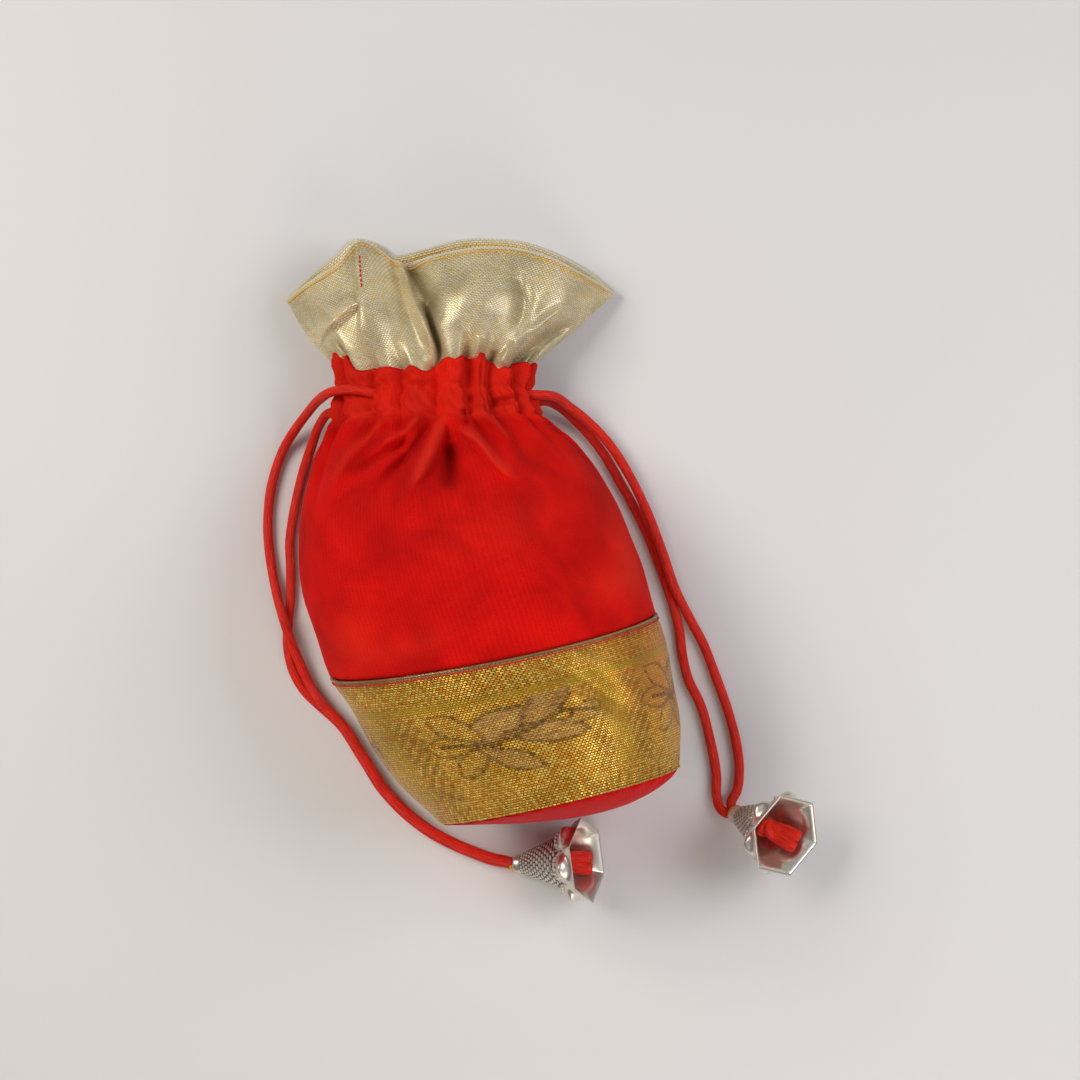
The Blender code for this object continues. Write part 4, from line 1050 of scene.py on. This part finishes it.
bell = {
    "length": 24.0, "mouth": 12.6, "collar": 2.95, "collarLength": 2.0, "wall": 0.8, "throat": 2.3,
    "petals": 6, "columns": 252, "scales": 21, "scaleRows": 12, "swell": 0.26, "corner": 1.062,
    # neighbouring petals meet petalFrom from the collar's end, and each edge dips petalDrop towards it; the
    # rows of scales fill the cap as far as scalesTo and go on at the same spacing between the petals
    "petalFrom": 20.6, "petalDrop": 4.4, "scalesTo": 16.0,
    "bead": 0.6, "beadsOnPetal": 5,
    # place, then heading, rise and roll in degrees
    "left": ((-19.0, -76.0, 3.2), -14.0, 25.5, 10.0), "right": ((50.3, -82.0, 5.2), -43.0, 52.0, -20.0),
}


def bellRadius(x):
    length, mouth, collar = bell["length"], bell["mouth"], bell["collar"]
    return np.interp(x, [0.0, bell["collarLength"], length * 0.75, length * 0.90, length],
                     [collar, collar, mouth * 0.715, mouth * 0.86, mouth])


def bellSpread(x, radius, turn, swell):
    # round at the collar, six lobes where the petals swell, six straight sides at the mouth
    share = x / bell["length"]
    side = 2 * math.pi / bell["petals"]
    fromMiddle = (turn % side) - side / 2
    straight = math.cos(side / 2) / np.cos(fromMiddle) * bell["corner"]
    mouth = float(smoothStep(0.84, 0.97, share))
    lobe = swell * math.exp(-(((share - 0.83) / 0.085) ** 2)) * np.cos(fromMiddle * math.pi / side) ** 2
    return radius * ((1.0 - mouth) + mouth * straight + lobe)


def petalEdge(turn):
    # how far from the collar each petal's rounded lower edge starts
    away = np.abs(((turn * bell["petals"] / (2 * math.pi)) % 1.0) - 0.5) * 2.0
    return bell["petalFrom"] - bell["petalDrop"] * np.sqrt(np.clip(1.0 - away**2, 0.0, 1.0))


def bellMatrix(side, rolled=True):
    (x, y, z), heading, rise, roll = bell[side]
    turned = Matrix.Rotation(math.radians(heading), 4, "Z") @ Matrix.Rotation(math.radians(-rise), 4, "Y")
    rolling = Matrix.Rotation(math.radians(roll * rolled), 4, "X")
    return Matrix.Translation(Vector((x, y, z))) @ turned @ rolling


def bellRing(x, radius, turn):
    return np.stack([np.full(len(turn), x), radius * np.cos(turn), radius * np.sin(turn)], axis=1)


def bellOutside(x, turn):
    # radius and hollow of the outside: overlapping scales, raised plain petals with a rim
    start, stop, lower = bell["collarLength"] + 0.5, bell["scalesTo"], petalEdge(turn)
    radius = bellSpread(x, float(bellRadius(x)), turn, bell["swell"])
    hollow = np.zeros_like(turn)
    onPetal = smoothStep(-0.2, 0.3, x - lower)
    if x < bell["collarLength"]:
        radius = radius + 0.12 * math.sin(math.pi * x / bell["collarLength"])
    elif start <= x < bell["petalFrom"]:
        place = (x - start) / (stop - start) * bell["scaleRows"]
        across = ((turn / (2 * math.pi) * bell["scales"] + 0.5 * (int(place) % 2)) % 1.0) - 0.5
        scale = np.clip(1.0 - np.hypot(across * 2.05, ((place % 1.0) - 0.5) * 2.0) ** 3, 0.0, 1.0)
        radius = radius + (0.42 * scale**0.5 - 0.2) * (1.0 - onPetal)
        hollow = np.maximum(hollow, (1.0 - scale**0.4) * 0.95 * (1.0 - onPetal))
    if x > 12.0:
        radius = radius + 0.3 * onPetal * float(1.0 - smoothStep(20.5, 23.8, x)) \
            + 0.25 * bump(x - lower - 0.3, 0.35)
        hollow = np.maximum(hollow, 0.8 * bump(x - lower + 0.4, 0.35))
    return radius, hollow


def makeBell(side):
    turn = 2 * math.pi * np.arange(bell["columns"]) / bell["columns"]
    rings, hollows = [], []
    for x in list(np.linspace(0.0, bell["collarLength"], 6)) + [2.2] + list(np.linspace(2.5, 16.0, 84)) \
            + list(np.linspace(16.2, 23.4, 30)) + [23.75, 24.0]:
        radius, hollow = bellOutside(x, turn)
        rings.append(bellRing(x, radius, turn))
        hollows.append(hollow)
    for x, wall in [(24.1, 0.3), (23.9, 0.65)] + [(x, bell["wall"]) for x in np.linspace(23.4, 2.4, 36)]:
        near = min(x, bell["length"])
        rings.append(bellRing(x, bellSpread(near, float(bellRadius(near)) - wall, turn, 0.0), turn))
        hollows.append(np.full_like(turn, 0.45 * float(1.0 - smoothStep(2.0, 11.0, x))))
    for x in (2.0, 0.0):
        rings.append(bellRing(x, np.full_like(turn, bell["throat"]), turn))
        hollows.append(np.full_like(turn, 0.5))
    place = bellMatrix(side)
    world = np.array(place)
    rings = [ring @ world[:3, :3].T + world[:3, 3] for ring in rings]
    name = side + "_bell"
    cap = addTube(name + "_cap", rings, castSilver, np.zeros(len(turn) + 1), np.zeros(len(rings)),
                  closed=True)
    paint(cap, "hollow", np.concatenate(hollows))
    dress(cap, name, name, slot="silver")
    beads = bmesh.new()
    for petal in range(bell["petals"]):
        for k in range(bell["beadsOnPetal"]):
            lobe = (k - (bell["beadsOnPetal"] - 1) / 2) / bell["beadsOnPetal"] * 0.74
            at = np.array([(petal + 0.5 + lobe) / bell["petals"] * 2 * math.pi])
            x = float(petalEdge(at)[0]) + 1.1
            radius = float(bellSpread(x, float(bellRadius(x)), at, bell["swell"])[0]) + 0.7
            spot = place @ Vector((x, radius * math.cos(at[0]), radius * math.sin(at[0])))
            bmesh.ops.create_icosphere(beads, subdivisions=2, radius=bell["bead"] * mm,
                                       matrix=Matrix.Translation(spot * mm))
    mesh = bpy.data.meshes.new(name + "_beads")
    beads.to_mesh(mesh)
    beads.free()
    mesh.shade_smooth()
    mesh.materials.append(castSilver)
    item = bpy.data.objects.new(name + "_beads", mesh)
    bpy.context.scene.collection.objects.link(item)
    dress(item, name, slot="silver")


makeBell("left")
makeBell("right")
print("bells cast")


knot = {
    "lean": {"left": -1.2, "right": 0.0},   # mm, how far the tails lie to one side
    "radius": 3.4, "depth": 13.0, "stem": 1.4, "loop": 2.0, "cord": 1.38,
    "tail": 10.4, "tailRadius": 1.55,
}
winding = {"turns": 2.5, "start": -1.3, "pitch": 0.32, "radius": 2.05, "threadRadius": 0.34}


def makeKnot(side):
    # the two cords, tied in the cap: a stem, two turns that make a knob, and two flattened tails
    slope = math.atan2(bell["mouth"] * 0.715 - bell["collar"], bell["length"] * 0.75 - bell["collarLength"])
    run = np.array((math.cos(slope), 0.0, -math.sin(slope)))
    across = np.array((0.0, 1.0, 0.0))
    lift = np.array((math.sin(slope), 0.0, math.cos(slope)))
    ball = run * knot["depth"] + lift * (knot["radius"] - knot["stem"] * 0.7)
    stem = smoothPath([run * -2.4, run * 2.0, run * 7.0 + lift * 0.3, run * knot["depth"] + lift * 0.7], 0.5)
    pieces = [(stem, np.full(len(stem), knot["stem"]), 0.0)]
    t = np.linspace(0.0, 2 * math.pi, 60)
    for tilt, shift in ((0.35, -0.6), (-0.75, 0.8)):
        axis = run * math.sin(tilt) + across * math.cos(tilt)
        turned = np.outer(np.cos(t), axis) * 0.95 + np.outer(np.sin(t), lift)
        loop = ball + run * shift + knot["loop"] * turned
        pieces.append((loop, np.full(len(loop), knot["cord"]), 0.05))
    for way in (-1.0, 1.0):
        lean = across * knot["lean"][side]
        tail = smoothPath([ball + run * 0.6 + across * way * 0.6 + lift * 0.6,
                           ball + run * knot["tail"] * 0.5 + across * way * 1.5 + lean * 0.5 - lift * 0.3,
                           ball + run * knot["tail"] + across * way * 1.75 + lean - lift * 1.3], 0.35)
        grow = np.linspace(0.0, 1.0, len(tail))
        pieces.append((tail, knot["tailRadius"] * np.where(grow > 0.95, 0.8, 1.0), 0.3))
    world = np.array(bellMatrix(side, rolled=False))
    parts = []
    for index, (path, radii, flat) in enumerate(pieces):
        rings = tubeRings(path, radii, 18, flat) @ world[:3, :3].T + world[:3, 3]
        rings[:, :, 2] = np.maximum(rings[:, :, 2], 0.1)
        length = np.concatenate([[0.0], np.cumsum(np.linalg.norm(np.diff(path, axis=0), axis=1))])
        parts.append(addTube(f"{side}_knot_turn_{index + 1}", rings, cordSatin,
                             np.linspace(0.0, cordGirth, 19), length, capped=True))
    dress(parts[0], "bag", side + "_knot", slot="cord")
    for part in parts[1:]:
        dress(part, "bag", slot="cord")


def makeWinding(side):
    # gilt thread wound round the cords where they go into the cap
    t = np.linspace(0.0, 2 * math.pi * winding["turns"], 70)
    path = np.stack([winding["start"] + winding["pitch"] * t / (2 * math.pi),
                     winding["radius"] * np.cos(t), winding["radius"] * np.sin(t)], axis=1)
    world = np.array(bellMatrix(side, rolled=False))
    rings = tubeRings(path, np.full(len(path), winding["threadRadius"]), 10) @ world[:3, :3].T + world[:3, 3]
    rings[:, :, 2] = np.maximum(rings[:, :, 2], 0.05)
    dress(addTube(side + "_gilt_winding", rings, goldThread, np.zeros(11), np.arange(70.0), capped=True),
          "bag")


makeKnot("left")
makeKnot("right")
makeWinding("left")
makeWinding("right")
print("knots tied")
